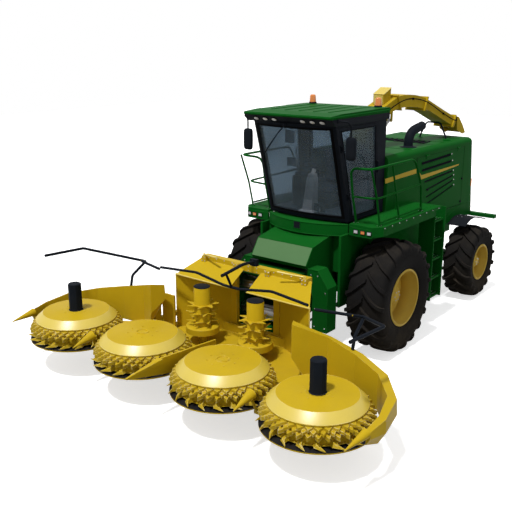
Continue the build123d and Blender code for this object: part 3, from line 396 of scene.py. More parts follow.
finishLooks = {  # colours are linear; rough and shine are the shader's roughness and specular level
    "greenPaint": {"colour": (0.0045, 0.098, 0.0115), "rough": 0.36, "shine": 0.006, "mottle": 0.07,
                   "scale": 1.6,
                   "wear": 0.35, "wearColour": (0.05, 0.19, 0.06), "dust": 0.03, "bump": 0.02},
    "yellowPaint": {"colour": (0.545, 0.37, 0.01), "rough": 0.38, "shine": 0.06, "mottle": 0.05, "scale": 2.2,
                    "wear": 0.55, "wearColour": (0.8, 0.68, 0.22), "dust": 0.07, "bump": 0.02},
    "spoutPaint": {"colour": (0.5, 0.345, 0.012), "rough": 0.42, "shine": 0.05, "mottle": 0.07, "scale": 1.8,
                   "wear": 0.5, "wearColour": (0.75, 0.62, 0.2), "dust": 0.07, "bump": 0.02},
    # A lighter copy of the yellow paint with cream edges: a painted highlight on rotor bevels, the spout box,
    # link rods and folded edges. Its high shine is a real gloss.
    "paintedHighlightYellow": {"colour": (0.66, 0.5, 0.055), "rough": 0.34, "shine": 0.95, "mottle": 0.05, "scale": 2.2,
                   "wear": 0.55, "wearColour": (0.9, 0.84, 0.5), "dust": 0.03, "bump": 0.02},
    # A lighter copy of the green paint: a painted sheen on the nose's slope. Its higher shine adds a real
    # gloss.
    "paintedSheenGreen": {"colour": (0.075, 0.175, 0.062), "rough": 0.35, "shine": 0.3, "mottle": 0.06, "scale": 1.4,
                   "wear": 0.35, "wearColour": (0.14, 0.27, 0.13), "dust": 0.05, "bump": 0.02},
    "wheelPaint": {"colour": (0.66, 0.46, 0.075), "rough": 0.42, "shine": 0.06, "mottle": 0.06, "scale": 4.0,
                   "wear": 0.4, "wearColour": (0.6, 0.45, 0.12), "dust": 0.15, "bump": 0.03},
    "blackPaint": {"colour": (0.01, 0.013, 0.019), "rough": 0.42, "shine": 0.01, "mottle": 0.15, "scale": 6.0,
                   "wear": 0.2, "wearColour": (0.05, 0.05, 0.055), "dust": 0.04, "bump": 0.03},
    # Near-black sheets over the skid pans: painted shade under the rotors.
    "skidSteel": {"colour": (0.01, 0.011, 0.014), "rough": 0.55, "shine": 0.05, "mottle": 0.45, "scale": 9.0,
                  "wear": 0.3, "wearColour": (0.08, 0.08, 0.09), "dust": 0.05, "bump": 0.06},
    "bladeSteel": {"colour": (0.5, 0.345, 0.012), "rough": 0.36, "shine": 0.2, "mottle": 0.1, "scale": 9.0,
                   "wear": 0.9, "wearColour": (0.88, 0.8, 0.46), "dust": 0.02, "bump": 0.03},
    "brightSteel": {"colour": (0.45, 0.46, 0.47), "rough": 0.28, "metal": 1.0, "mottle": 0.08, "scale": 20.0,
                    "wear": 0.2, "wearColour": (0.6, 0.6, 0.6), "dust": 0.05, "bump": 0.02},
    "tyreRubber": {"colour": (0.0135, 0.013, 0.0132), "rough": 0.72, "shine": 0.015, "mottle": 0.22,
                   "scale": 5.0,
                   "wear": 0.25, "wearColour": (0.05, 0.042, 0.034), "dust": 0.12, "bump": 0.1},
    "blackPlastic": {"colour": (0.01, 0.0125, 0.017), "rough": 0.5, "shine": 0.02, "mottle": 0.1,
                     "scale": 8.0,
                     "wear": 0.2, "wearColour": (0.04, 0.04, 0.04), "dust": 0.04, "bump": 0.05},
    "greyPlastic": {"colour": (0.62, 0.52, 0.5), "rough": 0.6, "shine": 0.2, "mottle": 0.08, "scale": 8.0,
                    "wear": 0.2, "wearColour": (0.3, 0.28, 0.27), "dust": 0.03, "bump": 0.05},
    "slatePlastic": {"colour": (0.16, 0.18, 0.22), "rough": 0.6, "shine": 0.2, "mottle": 0.1, "scale": 6.0,
                     "wear": 0.2, "wearColour": (0.1, 0.1, 0.11), "dust": 0.03, "bump": 0.05},
    "castIron": {"colour": (0.06, 0.06, 0.065), "rough": 0.65, "shine": 0.2, "mottle": 0.2, "scale": 6.0,
                 "wear": 0.3, "wearColour": (0.2, 0.2, 0.2), "dust": 0.12, "bump": 0.12},
    "seatCloth": {"colour": (0.05, 0.062, 0.09), "rough": 0.9, "shine": 0.1, "mottle": 0.12, "scale": 10.0,
                  "wear": 0.2, "wearColour": (0.05, 0.05, 0.06), "dust": 0.03, "bump": 0.2, "weave": 420.0},
    "rubberSeal": {"colour": (0.004, 0.0042, 0.005), "rough": 0.6, "shine": 0.01, "mottle": 0.1, "scale": 9.0,
                   "wear": 0.1, "wearColour": (0.02, 0.02, 0.02), "dust": 0.03, "bump": 0.04},
}
sharedLook = {"dustColour": (0.2, 0.155, 0.095), "dustTop": 1.3, "dustRough": 0.6, "edgeWidth": 0.012,
              "mottleRough": 0.08, "bumpDepth": 0.01}
glassLook = {"tint": (0.24, 0.3, 0.35), "rough": 0.0, "ior": 1.06, "clear": 0.82, "shadowLet": 0.85}
lensLooks = {"whiteLens": ((0.62, 0.63, 0.66), 0.1), "amberLens": ((0.85, 0.26, 0.045), 0.12),
             "redLens": ((0.55, 0.02, 0.015), 0.1)}  # colour and glow


def place(tree, group, values):
    # A group node with its own values, which are numbers, colours or outputs.
    node = tree.nodes.new("ShaderNodeGroup")
    node.node_tree = group
    for label, value in values.items():
        socket = node.inputs[label]
        if isinstance(value, tuple):
            socket.default_value = (*value, 1.0)
        elif isinstance(value, (int, float)):
            socket.default_value = value
        else:
            tree.links.new(value, socket)
    return node


def newMaterial(name):
    # A material with its node tree, its shader and the point on the object.
    material = bpy.data.materials.new(name)
    material.use_nodes = True
    tree = material.node_tree
    point = tree.nodes.new("ShaderNodeTexCoord").outputs["Object"]
    return material, tree, tree.nodes["Principled BSDF"], point


def makeFinish(name, look):
    # A finish: mottled colour, dust over it and worn edges, with rougher dusty places.
    material, tree, shader, point = newMaterial(name)
    mottle = place(tree, groups["mottle"], {"Point": point, "Colour": look["colour"],
                                            "Scale": look["scale"], "Amount": look["mottle"]})
    worn = place(tree, groups["wear"], {"Point": point, "Width": sharedLook["edgeWidth"],
                                        "Amount": look["wear"]})
    dusty = place(tree, groups["dust"], {"Point": point, "Amount": look["dust"],
                                         "Low": sharedLook["dustTop"]})
    colour = blendColour(tree, worn.outputs["Mask"], mottle.outputs["Colour"], look["wearColour"])
    colour = blendColour(tree, dusty.outputs["Mask"], colour, sharedLook["dustColour"])
    tree.links.new(colour, shader.inputs["Base Color"])
    rough = math2(tree, "MULTIPLY_ADD", dusty.outputs["Mask"], sharedLook["dustRough"], look["rough"],
                  clamp=True)
    rough = math2(tree, "MULTIPLY_ADD", mottle.outputs["Height"], sharedLook["mottleRough"], rough,
                  clamp=True)
    tree.links.new(rough, shader.inputs["Roughness"])
    shader.inputs["Metallic"].default_value = look.get("metal", 0.0)
    shader.inputs["Specular IOR Level"].default_value = look.get("shine", 0.5)
    height = mottle.outputs["Height"]
    if "weave" in look:
        threads = tree.nodes.new("ShaderNodeTexWave")
        threads.inputs["Scale"].default_value = look["weave"]
        tree.links.new(point, threads.inputs["Vector"])
        height = math2(tree, "ADD", height, threads.outputs["Fac"])
    bump = tree.nodes.new("ShaderNodeBump")
    bump.inputs["Strength"].default_value = look["bump"]
    bump.inputs["Distance"].default_value = sharedLook["bumpDepth"]
    tree.links.new(height, bump.inputs["Height"])
    tree.links.new(bump.outputs[0], shader.inputs["Normal"])
    return material


def makeGlass(name, look):
    # Glass: a tinted clear pane, with a little grime. Lamps reach through it to the inside.
    material, tree, shader, point = newMaterial(name)
    cloud = stepUp(tree, noise(tree, point, 1.7, 5.0, 0.6), 0.4, 0.75)
    grimy = tuple(0.72 * channel + 0.03 for channel in look["tint"])
    tree.links.new(blendColour(tree, cloud, look["tint"], grimy), shader.inputs["Base Color"])
    shader.inputs["Roughness"].default_value = look["rough"]
    shader.inputs["IOR"].default_value = look["ior"]
    shader.inputs["Transmission Weight"].default_value = look["clear"]
    rays = tree.nodes.new("ShaderNodeLightPath")
    solid = math2(tree, "MULTIPLY_ADD", rays.outputs["Is Shadow Ray"], -look["shadowLet"], 1.0)
    tree.links.new(solid, shader.inputs["Alpha"])
    return material


def makeLens(name, colour, glow):
    # A lens: ribbed plastic with a little glow.
    material, tree, shader, point = newMaterial(name)
    ribs = tree.nodes.new("ShaderNodeTexWave")
    ribs.bands_direction = "Y"
    ribs.inputs["Scale"].default_value = 22.0
    tree.links.new(point, ribs.inputs["Vector"])
    tree.links.new(blendColour(tree, ribs.outputs["Fac"], tuple(0.6 * c for c in colour), colour),
                   shader.inputs["Base Color"])
    tree.links.new(blendColour(tree, ribs.outputs["Fac"], tuple(0.5 * c for c in colour), colour),
                   shader.inputs["Emission Color"])
    shader.inputs["Emission Strength"].default_value = glow
    shader.inputs["Roughness"].default_value = 0.12
    return material


finishes = {name: makeFinish(name, look) for name, look in finishLooks.items()}
finishes["windowGlass"] = makeGlass("windowGlass", glassLook)
finishes["mirrorGlass"] = makeFinish("mirrorGlass", {
    "colour": (0.55, 0.6, 0.65), "rough": 0.03, "metal": 1.0, "mottle": 0.02, "scale": 3.0, "wear": 0.0,
    "wearColour": (0.5, 0.5, 0.5), "dust": 0.05, "bump": 0.0})
for lensName, (lensColour, lensGlow) in lensLooks.items():
    finishes[lensName] = makeLens(lensName, lensColour, lensGlow)
print("finishes:", len(finishes))

finishOfSlot = {"green_paint": "greenPaint", "yellow_paint": "yellowPaint", "black_paint": "blackPaint",
                "bare_steel": "brightSteel", "tyre_rubber": "tyreRubber", "window_glass": "windowGlass",
                "white_lens": "whiteLens", "amber_lens": "amberLens", "black_plastic": "blackPlastic",
                "seat_cloth": "seatCloth", "cast_block": "castIron"}


def dressNodes():
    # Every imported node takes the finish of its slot, apart from a few with their own.
    special = {"front_rim": "wheelPaint", "rear_rim": "wheelPaint", "spout_duct": "spoutPaint",
               "spout_flap": "spoutPaint", "spout_turret": "spoutPaint", "ladder": "greenPaint"}
    for name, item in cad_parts.items():
        own = [finish for start, finish in special.items() if name.startswith(start)]
        slotName = item.data.materials[0].name.split(".")[0] if item.data.materials else "green_paint"
        finish = finishes[own[0] if own else finishOfSlot.get(slotName, "greenPaint")]
        item.data.materials.clear()
        item.data.materials.append(finish)
    print("packed nodes dressed")


dressNodes()


# Wheels.
wheelSizes = {
    "front": {"x": axleX, "y": 1.2, "radius": 0.9, "width": 0.65, "seat": 0.44, "pairs": 19,
              "dish": 0.03, "hub": 0.15, "nuts": 12, "nutRing": 0.168},
    "rear": {"x": axleX - 3.36, "y": 1.105, "radius": 0.69, "width": 0.55, "seat": 0.325, "pairs": 17,
             "dish": 0.06, "hub": 0.12, "nuts": 10, "nutRing": 0.15},
}
lugShape = {"height": 0.05, "base": 0.034, "top": 0.023, "sweep": 0.42, "steps": 14}


def tyreShape(size):
    # The carcass is a smooth section carried round the axle. Each lug is a bar with a
    # tapered section whose line goes from the middle of the tread, round, over the shoulder.
    radius, width, seat = size["radius"], size["width"], size["seat"]
    crown = radius - lugShape["height"]
    mid = (seat + crown) / 2
    half = [(seat, 0.395), (seat + 0.022, 0.425), (seat + 0.05, 0.428), (seat + 0.075, 0.452), (mid, 0.485),
            (crown - 0.105, 0.483), (crown - 0.045, 0.445), (crown - 0.014, 0.36), (crown - 0.004, 0.18),
            (crown, 0.0)]
    half = np.array(half) * (1.0, width)
    outer = smoothLine(np.concatenate([half, half[-2::-1] * (1, -1)]), 5)
    carcass = turned(outer, (0, 0, 0), "y", 120)
    # Lugs: place along the outer line, in radius and sideways, and round the axle.
    line = smoothLine(half[::-1], 8)
    reach = np.concatenate([[0], np.cumsum(np.linalg.norm(np.diff(line, axis=0), axis=1))])
    step = np.linspace(0, 1, lugShape["steps"])
    along = -0.012 + (0.4 * width + 0.135) * step
    lineR = np.interp(np.abs(along), reach, line[:, 0])
    lineY = np.interp(np.abs(along), reach, line[:, 1]) * np.sign(along + 1e-9)
    slopeR, slopeY = np.gradient(lineR), np.gradient(lineY)
    outR, outY = slopeY / np.hypot(slopeR, slopeY), -slopeR / np.hypot(slopeR, slopeY)
    swing = lugShape["sweep"] * width * (1 - (1 - step) ** 1.5) / crown
    tall = lugShape["height"] * np.interp(step, [0, 0.05, 0.75, 1.0], [0.86, 0.97, 0.85, 0.16])
    corners = [(-1, 0), (-1, 1), (1, 1), (1, 0)]
    side = []
    for across, rise in corners:
        wide = lugShape["top"] if rise else lugShape["base"]
        lift = tall if rise else -0.012
        r = lineR + outR * lift
        side.append(np.stack([swing + across * wide / crown * np.interp(step, [0, 0.6, 1], [0.85, 1.0, 1.5]),
                              r, lineY + outY * lift], axis=-1))
    lug = np.stack(side, axis=1)  # steps, corners, (angle, radius, sideways)
    shapes = [carcass]
    for flip, offset in ((1, 0.0), (-1, 0.5)):
        for index in range(size["pairs"]):
            angle = lug[..., 0] + (index + offset) / size["pairs"] * full
            points = np.stack([lug[..., 1] * np.cos(angle), flip * lug[..., 2], -lug[..., 1] * np.sin(angle)],
                              axis=-1)
            shapes.append(ringStack(points))
    return gather(shapes)


def rimShape(size):
    # A dished wheel: a section with rolled lips carried round the axle, outer face along +Y.
    seat, width, dish, hub = size["seat"], size["width"], size["dish"], size["hub"]
    bead, lip, inner = 0.4 * width, 0.024, seat - 0.014
    flange = seat + 0.02
    section = [(inner, bead + lip), (inner + 0.012, bead + lip + 0.006), (flange, bead + lip),
               (flange, bead + 0.006),
               (seat, bead + 0.006), (seat, bead - 0.03), (seat - 0.02, bead - 0.07),
               (seat - 0.02, -bead + 0.07),
               (seat, -bead + 0.03), (seat, -bead - 0.006), (flange, -bead - 0.006), (flange, -bead - lip),
               (inner, -bead - lip), (inner, -bead), (inner - 0.02, -bead + 0.07),
               (inner - 0.02, dish - 0.11),
               (inner - 0.03, dish - 0.085), (0.74 * inner, dish - 0.012), (0.06, dish - 0.014),
               (0.06, dish + 0.09), (0.0, dish + 0.09), (0.0, dish + 0.112), (0.6 * hub, dish + 0.112),
               (0.68 * hub, dish + 0.104), (0.94 * hub, dish + 0.078), (hub, dish + 0.066),
               (hub, dish + 0.012),
               (hub + 0.012, dish), (0.7 * inner, dish), (0.78 * inner, dish - 0.012),
               (inner - 0.03, dish - 0.052),
               (inner - 0.008, dish - 0.042), (inner - 0.02, dish - 0.01), (inner - 0.02, bead - 0.075),
               (inner, bead - 0.03)]
    return turned(section, (0, 0, 0), "y", 96)


def makeWheels():
    # Each wheel: tyre, rim, and its nuts with the hub's small bolts and the valve.
    for end, size in wheelSizes.items():
        tyre, rim = tyreShape(size), rimShape(size)
        turn = np.arange(size["nuts"]) / size["nuts"] * full
        nutSpots = np.stack([size["nutRing"] * np.cos(turn), np.full(size["nuts"], size["dish"]),
                             size["nutRing"] * np.sin(turn)], axis=-1)
        nuts = boltHeads(nutSpots, (0, 1, 0), 0.016, 0.022)
        capSpots = np.stack([0.5 * size["hub"] * np.cos(turn[::2]),
                             np.full(len(turn[::2]), size["dish"] + 0.112),
                             0.5 * size["hub"] * np.sin(turn[::2])], axis=-1)
        caps = boltHeads(capSpots, (0, 1, 0), 0.01, 0.01)
        valve = tube([(size["seat"] - 0.05, 0.4 * size["width"] - 0.07, 0.0),
                      (size["seat"] - 0.075, 0.4 * size["width"] - 0.03, 0.0)], 0.006, 8)
        for side, sign in sides:
            centre = (size["x"], sign * size["y"], size["radius"])
            parts = (("Tyre", tyre, "tyreRubber", f"{end}_tyre_{side}"),
                     ("Rim", rim, "wheelPaint", f"{end}_rim_{side}"),
                     ("Nuts", gather([nuts, caps, valve]), "brightSteel", None))
            for label, shape, finish, node in parts:
                item = piece(end + side.capitalize() + label, f"{end}_wheel_{side}", finish,
                             moved(toSide(shape, sign), centre), 40)
                if node:
                    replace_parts(item, node)
    print("wheels made")


makeWheels()


# Rotors and feed drums.
rotorSizes = {"x": axleX + 3.494, "innerY": 0.7446, "outerY": 2.2046, "top": 0.863, "flat": 0.49,
              "skirt": 0.6, "skirtZ": 0.763, "skin": 0.57, "low": 0.505, "teeth": 36, "knives": 20,
              "bolts": 8, "boltRing": 0.2}
drumSizes = {"x": 2.524, "y": 0.5, "teeth": 7, "tierZ": (0.82, 0.94, 1.06), "tierTurn": 0.3,
             "foot": [(0.0, 0.741), (0.235, 0.741), (0.243, 0.737), (0.249, 0.728), (0.249, 0.645),
                      (0.244, 0.64), (0.235, 0.64), (0.235, 0.725), (0.112, 0.732), (0.06, 0.732),
                      (0.06, 0.471), (0.0, 0.471)],
             "post": [(0.0, 0.74), (0.128, 0.74), (0.122, 0.76), (0.12, 1.318), (0.116, 1.326), (0.0, 1.326)],
             "cap": [(0.0, 1.326), (0.117, 1.326), (0.1205, 1.33), (0.1195, 1.337), (0.112, 1.3402),
                     (0.0, 1.3402)]}
sawTiers = [  # height of the tooth's root and tip, radius of root and tip, thickness
    {"rootZ": 0.732, "tipZ": 0.722, "root": 0.588, "tip": 0.65, "thick": 0.034},
    {"rootZ": 0.694, "tipZ": 0.684, "root": 0.592, "tip": 0.668, "thick": 0.034},
    {"rootZ": 0.656, "tipZ": 0.644, "root": 0.596, "tip": 0.69, "thick": 0.046}]


def sawRing(tier, teeth, phase):
    # A toothed ring: its edge goes out and down to a tip and back in to a root, tooth by tooth.
    turn = np.arange(2 * teeth) / (2 * teeth) * full + phase
    isTip = np.arange(2 * teeth) % 2
    radius = np.where(isTip, tier["tip"], tier["root"])
    height = np.where(isTip, tier["tipZ"], tier["rootZ"])
    thick = tier["thick"]
    inner = rotorSizes["skin"] - 0.01
    loops = [(np.full_like(radius, inner), np.full_like(height, tier["rootZ"] + 0.012)), (radius, height),
             (radius, height - thick),
             (np.full_like(radius, inner), np.full_like(height, tier["rootZ"] - thick))]
    rings = np.stack([np.stack([r * np.cos(turn), r * np.sin(turn), z], axis=-1) for r, z in loops], axis=1)
    return rings.reshape(-1, 3), gridFaces(2 * teeth, 4, True, True)


def knifeShape(count):
    # A ring of swept thorns: each is a ridged spike from the rotor's foot to a tip out over the skid.
    low = rotorSizes["low"]
    outline = np.array([(0.56, -0.07), (0.64, -0.058), (0.719, 0.058), (0.723, 0.072), (0.655, 0.02),
                        (0.56, 0.022)])
    lower = np.concatenate([outline, np.full((6, 1), low)], axis=1)
    rise = np.array([0.07, 0.04, 0.008, 0.004, 0.034, 0.074])
    pull = np.array([(0.0, 0.03), (-0.004, 0.024), (0.0, 0.0), (0.0, 0.0), (0.0, -0.01), (0.0, -0.024)])
    upper = lower + np.concatenate([pull, rise[:, None]], axis=1)
    blade = np.stack([lower, upper])
    shapes = []
    for index in range(count):
        angle = index / count * full
        spin = np.array([[math.cos(angle), math.sin(angle), 0], [-math.sin(angle), math.cos(angle), 0],
                         [0, 0, 1]])
        shapes.append(ringStack(blade @ spin))
    return gather(shapes)


def rotorShapes(tubed):
    # A rotor's pieces round its own axis: dome, bevelled edge, saw rings, knives, bolts, and a tube on some.
    size = rotorSizes
    top, skin = size["top"], size["skin"]
    crownSection = [(0.0, top), (0.135, top), (0.142, top + 0.003), (0.15, top)] if tubed else [
        (0.0, top), (0.068, top), (0.072, top + 0.012), (0.08, top + 0.014), (0.092, top + 0.013),
        (0.097, top + 0.002), (0.104, top), (0.15, top), (0.157, top - 0.003)]
    dome = crownSection + [
        (size["flat"] - 0.02, top), (size["flat"], top - 0.004),
        (size["skirt"] - 0.006, size["skirtZ"] + 0.002),
        (size["skirt"], size["skirtZ"] - 0.006), (size["skirt"], 0.744), (size["skirt"] - 0.02, 0.736),
        (skin, 0.734), (skin, size["low"] + 0.012), (skin + 0.03, size["low"] + 0.012),
        (skin + 0.03, size["low"]),
        (0.0, size["low"])]
    bevel = [(size["flat"] + 0.0005, top - 0.0034), (size["skirt"] - 0.0055, size["skirtZ"] + 0.0025),
             (size["skirt"] + 0.0006, size["skirtZ"] - 0.006), (size["skirt"] - 0.01, size["skirtZ"] - 0.006),
             (size["flat"] - 0.01, top - 0.012)]
    # The bevelled edge takes the lighter yellow, a painted highlight.
    shapes = {"Dome": (turned(dome, (0, 0, 0), "z", 96), "yellowPaint"),
              "Bevel": (turned(bevel, (0, 0, 0), "z", 96), "paintedHighlightYellow")}
    halfTooth = full / size["teeth"] / 2
    saws = [sawRing(tier, size["teeth"], (index % 2) * halfTooth) for index, tier in enumerate(sawTiers)]
    shapes["Saws"] = (gather(saws), "bladeSteel")
    shapes["Knives"] = (knifeShape(size["knives"]), "bladeSteel")
    turn = np.arange(size["bolts"]) / size["bolts"] * full
    bolts = np.stack([size["boltRing"] * np.cos(turn), size["boltRing"] * np.sin(turn),
                      np.full(size["bolts"], top)], axis=-1)
    shapes["Bolts"] = (boltHeads(bolts, (0, 0, 1), 0.009, 0.006), "yellowPaint")
    if tubed:
        stub = [(0.0, top), (0.11, top), (0.11, top + 0.006), (0.099, top + 0.01), (0.099, top + 0.402),
                (0.088, top + 0.414), (0.0, top + 0.416)]
        shapes["Tube"] = (turned(stub, (0, 0, 0), "z", 12), "blackPaint")
    return shapes


def starTier(height, teeth, phase):
    # A tier of swept teeth: its edge rises to a hooked tip and falls back sharply, and waves.
    shares = np.array([(0.0, 0.14, 0.0), (0.25, 0.152, 0.003), (0.5, 0.182, 0.005), (0.74, 0.246, 0.01),
                       (0.8, 0.243, 0.008), (0.82, 0.18, 0.0), (0.9, 0.146, 0.0)])
    turn = ((np.arange(teeth)[:, None] + shares[None, :, 0]) / teeth * full + phase).ravel()
    radius = np.tile(shares[:, 1], teeth)
    lift = np.tile(shares[:, 2], teeth)
    inner = np.full_like(radius, 0.1)
    loops = [(inner, np.full_like(radius, height + 0.005)), (radius, height + lift + 0.005),
             (radius, height + lift - 0.005), (inner, np.full_like(radius, height - 0.005))]
    rings = np.stack([np.stack([r * np.cos(turn), r * np.sin(turn), z], axis=-1) for r, z in loops], axis=1)
    return rings.reshape(-1, 3), gridFaces(len(turn), 4, True, True)


def makeRotors():
    # Four rotors, the outer two with a tube, and two feed drums.
    size = rotorSizes
    for side, sign in sides:
        for row, y in (("inner", size["innerY"]), ("outer", size["outerY"])):
            body = f"rotor_{row}_{side}"
            for label, (shape, finish) in rotorShapes(row == "outer").items():
                item = piece(row + "Rotor" + side.capitalize() + label, body, finish,
                             moved(toSide(shape, sign), (size["x"], sign * y, 0)),
                             20 if label in ("Saws", "Knives") else 30)
                if label == "Dome":
                    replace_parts(item, body)
        makeDrum(side, sign)
    print("rotors and drums made")


def makeDrum(side, sign):
    # A feed drum: a skirted foot with a post, a cap, and tiers of swept teeth, each turned on a little.
    size = drumSizes
    centre = (axleX + size["x"], sign * size["y"], 0)
    drum = gather([turned(size["foot"], (0, 0, 0), "z", 64), turned(size["post"], (0, 0, 0), "z", 48)])
    tiers = [starTier(z, size["teeth"], index * size["tierTurn"]) for index, z in enumerate(size["tierZ"])]
    cap = turned(size["cap"], (0, 0, 0), "z", 48)
    for label, shape, finish in (("Drum", drum, "yellowPaint"), ("Cap", cap, "blackPaint"),
                                 ("Teeth", gather(tiers), "yellowPaint")):
        item = piece("feed" + side.capitalize() + label, f"feed_drum_{side}", finish,
                     moved(toSide(shape, sign), centre), 32)
        if label == "Drum":
            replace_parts(item, f"feed_drum_{side}")


makeRotors()


# Body trim.
bodyHalf = 0.8
stripes = {  # side outlines of (x, z) from the front axle
    "thick": 0.003,
    "fixed": [[(-0.425, 2.65), (-0.7, 2.654), (-0.706, 2.577), (-0.432, 2.571)],
              [(-0.748, 2.655), (-1.5, 2.677), (-1.508, 2.597), (-0.755, 2.59)]],
    "panel": [(-1.57, 2.607), (-1.617, 2.603), (-1.703, 2.538), (-3.274, 2.548), (-3.235, 2.522),
              (-1.662, 2.461)]}
louvres = {  # each row: x and z of the opening's front end, of its rear end, and its height
    "rows": [(-1.69, 2.737, -2.868, 2.77, 0.06), (-1.71, 2.615, -2.922, 2.642, 0.055),
             (-1.84, 2.398, -2.99, 2.45, 0.042), (-1.922, 2.243, -3.017, 2.36, 0.042),
             (-1.941, 2.11, -3.032, 2.27, 0.04), (-1.939, 1.979, -3.05, 2.169, 0.04)],
    "bladeAt": (-0.3, 0.12), "bladeOut": 0.006, "bladeIn": 0.028, "bladeRise": 0.02, "bladeThick": 0.003,
    "lip": 0.004, "stud": 0.012, "studTall": 0.008, "studBack": 0.035, "studUp": 0.01}


def raisedStripe(outline):
    # A thin plate on the body's left side.
    return sidePlate(np.array(outline) + (axleX, 0), bodyHalf, bodyHalf + stripes["thick"])


def louvreShapes():
    # Two slanting blades in each opening, a lip round it, and a stud near its rear end.
    size = louvres
    blades, lips, studs = [], [], []
    outer, inner = bodyHalf - size["bladeOut"], bodyHalf - size["bladeIn"]
    for front, frontZ, rear, rearZ, wide in size["rows"]:
        a, b = np.array([front + axleX, frontZ]), np.array([rear + axleX, rearZ])
        run = (b - a) / np.linalg.norm(b - a)
        up = np.array([run[1], -run[0]])
        for share in size["bladeAt"]:
            (x0, z0), (x1, z1) = a + up * wide * share, b + up * wide * share
            rise = size["bladeRise"]
            outline = [(x0, outer, z0), (x1, outer, z1), (x1, inner, z1 + rise), (x0, inner, z0 + rise)]
            blades.append(plate(outline, (0, 0, size["bladeThick"])))
        corners = [a - up * wide / 2, b - up * wide / 2, b + up * wide / 2, a + up * wide / 2]
        for (x0, z0), (x1, z1) in zip(corners, corners[1:] + corners[:1]):
            lips.append(tube([(x0, bodyHalf, z0), (x1, bodyHalf, z1)], size["lip"], 6))
        studs.append((b[0] - size["studBack"], bodyHalf, b[1] + size["studUp"]))
    return gather(blades), gather(lips), boltHeads(studs, (0, 1, 0), size["stud"], size["studTall"], 10)


def makeBodyTrim():
    # Yellow stripes on the body and its side panels, and the panels' louvres.
    blades, lips, studs = louvreShapes()
    for side, sign in sides:
        panel, end = f"side_panel_{side}", side.capitalize()
        front = gather([raisedStripe(outline) for outline in stripes["fixed"]])
        piece("stripeFront" + end, "chassis", "yellowPaint", toSide(front, sign), bevel=0.001)
        piece("stripeRear" + end, panel, "yellowPaint", toSide(raisedStripe(stripes["panel"]), sign),
              bevel=0.001)
        piece("louvreBlades" + end, panel, "blackPaint", toSide(blades, sign))
        piece("louvreLips" + end, panel, "greenPaint", toSide(lips, sign))
        piece("louvreStuds" + end, panel, "brightSteel", toSide(studs, sign))
    print("body trim made")


makeBodyTrim()


# Cab.
cabSizes = {"floor": 2.11, "ceiling": 3.6, "front": 0.56, "lean": 440 / 1490, "bow": 0.12, "half": 0.75,
            "rear": -0.476, "doorBack": 0.075}
sealSizes = {  # bands on the windscreen: y from and to, z from and to
    "bands": [(-0.7, -0.655, 2.175, 3.552), (0.655, 0.7, 2.175, 3.552), (-0.7, 0.7, 2.165, 2.2),
              (-0.7, 0.7, 3.53, 3.56)],
    "thick": 0.006, "out": 0.001, "radius": 0.007, "sideInset": 0.04, "doorInset": 0.052,
    "rearRadius": 0.008, "rearHalf": 0.655, "rearLow": 2.615, "rearHigh": 3.525}
fasciaSizes = {"half": 0.788, "low": 3.601, "frontX": (1.0805, 1.17), "frontHigh": 3.7, "thick": 0.004,
               "sides": (0.7895, -0.7935),
               "sideOutline": [(-0.487, 3.601), (1.08, 3.601), (1.167, 3.697), (-0.494, 3.697)]}
roofSizes = {"edge": [(-0.494, -0.789, 3.736), (1.196, -0.789, 3.722), (1.196, 0.789, 3.722),
                      (-0.494, 0.789, 3.736)],
             "edgeRadius": 0.014, "ribLine": [(-0.36, 3.7745), (-0.29, 3.7765), (0.86, 3.7675)],
             "ribRadius": 0.006, "ribs": (-0.52, -0.26, 0.0, 0.26, 0.52)}
wiperSizes = {"armY": [-0.07, -0.3, -0.52], "armZ": [3.56, 3.37, 3.17], "armOut": 0.03,
              "bladeY": (-0.16, -0.64), "bladeZ": (3.5, 3.06), "bladeOut": 0.017, "motor": (-0.07, 3.575)}
handleSizes = {"x": -0.225, "low": 2.8, "high": 2.94, "out": 0.036, "radius": 0.008,
               "grab": [(-0.27, -0.753, 2.45), (-0.27, -0.8, 2.45), (-0.2, -0.8, 3.05), (-0.2, -0.753, 3.05)],
               "grabRadius": 0.012}


def screenPoints(across, height, out=0.0):
    # Points on the windscreen's outer face, which leans forward as it rises and bows in plan.
    size = cabSizes
    across, height = np.broadcast_arrays(np.asarray(across, float), np.asarray(height, float))
    radius = (size["half"] ** 2 + size["bow"] ** 2) / (2 * size["bow"])
    x = axleX + size["front"] + size["lean"] * (height - size["floor"]) + size["bow"] - radius
    return np.stack([x + np.sqrt((radius + out) ** 2 - across ** 2), across, height], axis=-1)


def screenBand(acrossLow, acrossHigh, low, high):
    # A strip laid on the windscreen's face.
    across = np.linspace(acrossLow, acrossHigh, 25 if acrossHigh - acrossLow > 0.3 else 4)
    height = np.linspace(low, high, 4)
    return walled(screenPoints(across[:, None], height[None, :], sealSizes["out"]), sealSizes["thick"])


def filleted(corners, cutBack, steps=6):
    # A path whose corners give way to curves: each starts and ends a set distance from its corner.
    corners = np.asarray(corners, float)
    path = [corners[0]]
    t = np.linspace(0, 1, steps)[:, None]
    for before, here, after in zip(corners[:-2], corners[1:-1], corners[2:]):
        back, ahead = before - here, after - here
        start = here + back * min(0.45, cutBack / np.linalg.norm(back))
        end = here + ahead * min(0.45, cutBack / np.linalg.norm(ahead))
        path += list((1 - t) ** 2 * start + 2 * t * (1 - t) * here + t ** 2 * end)
    return np.array(path + [corners[-1]])


def roundBar(corners, radius, cutBack=0.08, sides=10):
    # A round bar along a path whose corners give way to curves.
    return tube(filleted(corners, cutBack), radius, sides)


def loopBar(corners, radius, sides=8):
    # A round bar that goes once round an outline.
    corners = np.asarray(corners, float)
    return bentBar(list(corners) + [corners[0]], radius, sides)


def sideDoorOutline(inset):
    # Side outline of the door, its front edge along the leaning pillar.
    size = cabSizes
    low, high = size["floor"] + 0.025 + inset, size["ceiling"] - 0.04 - inset
    front = [axleX + size["front"] - size["doorBack"] + size["lean"] * (z - size["floor"]) - inset
             for z in (low, high)]
    return [(front[0], low), (front[1], high), (axleX - 0.19 + inset, high), (axleX - 0.3 + inset, low)]


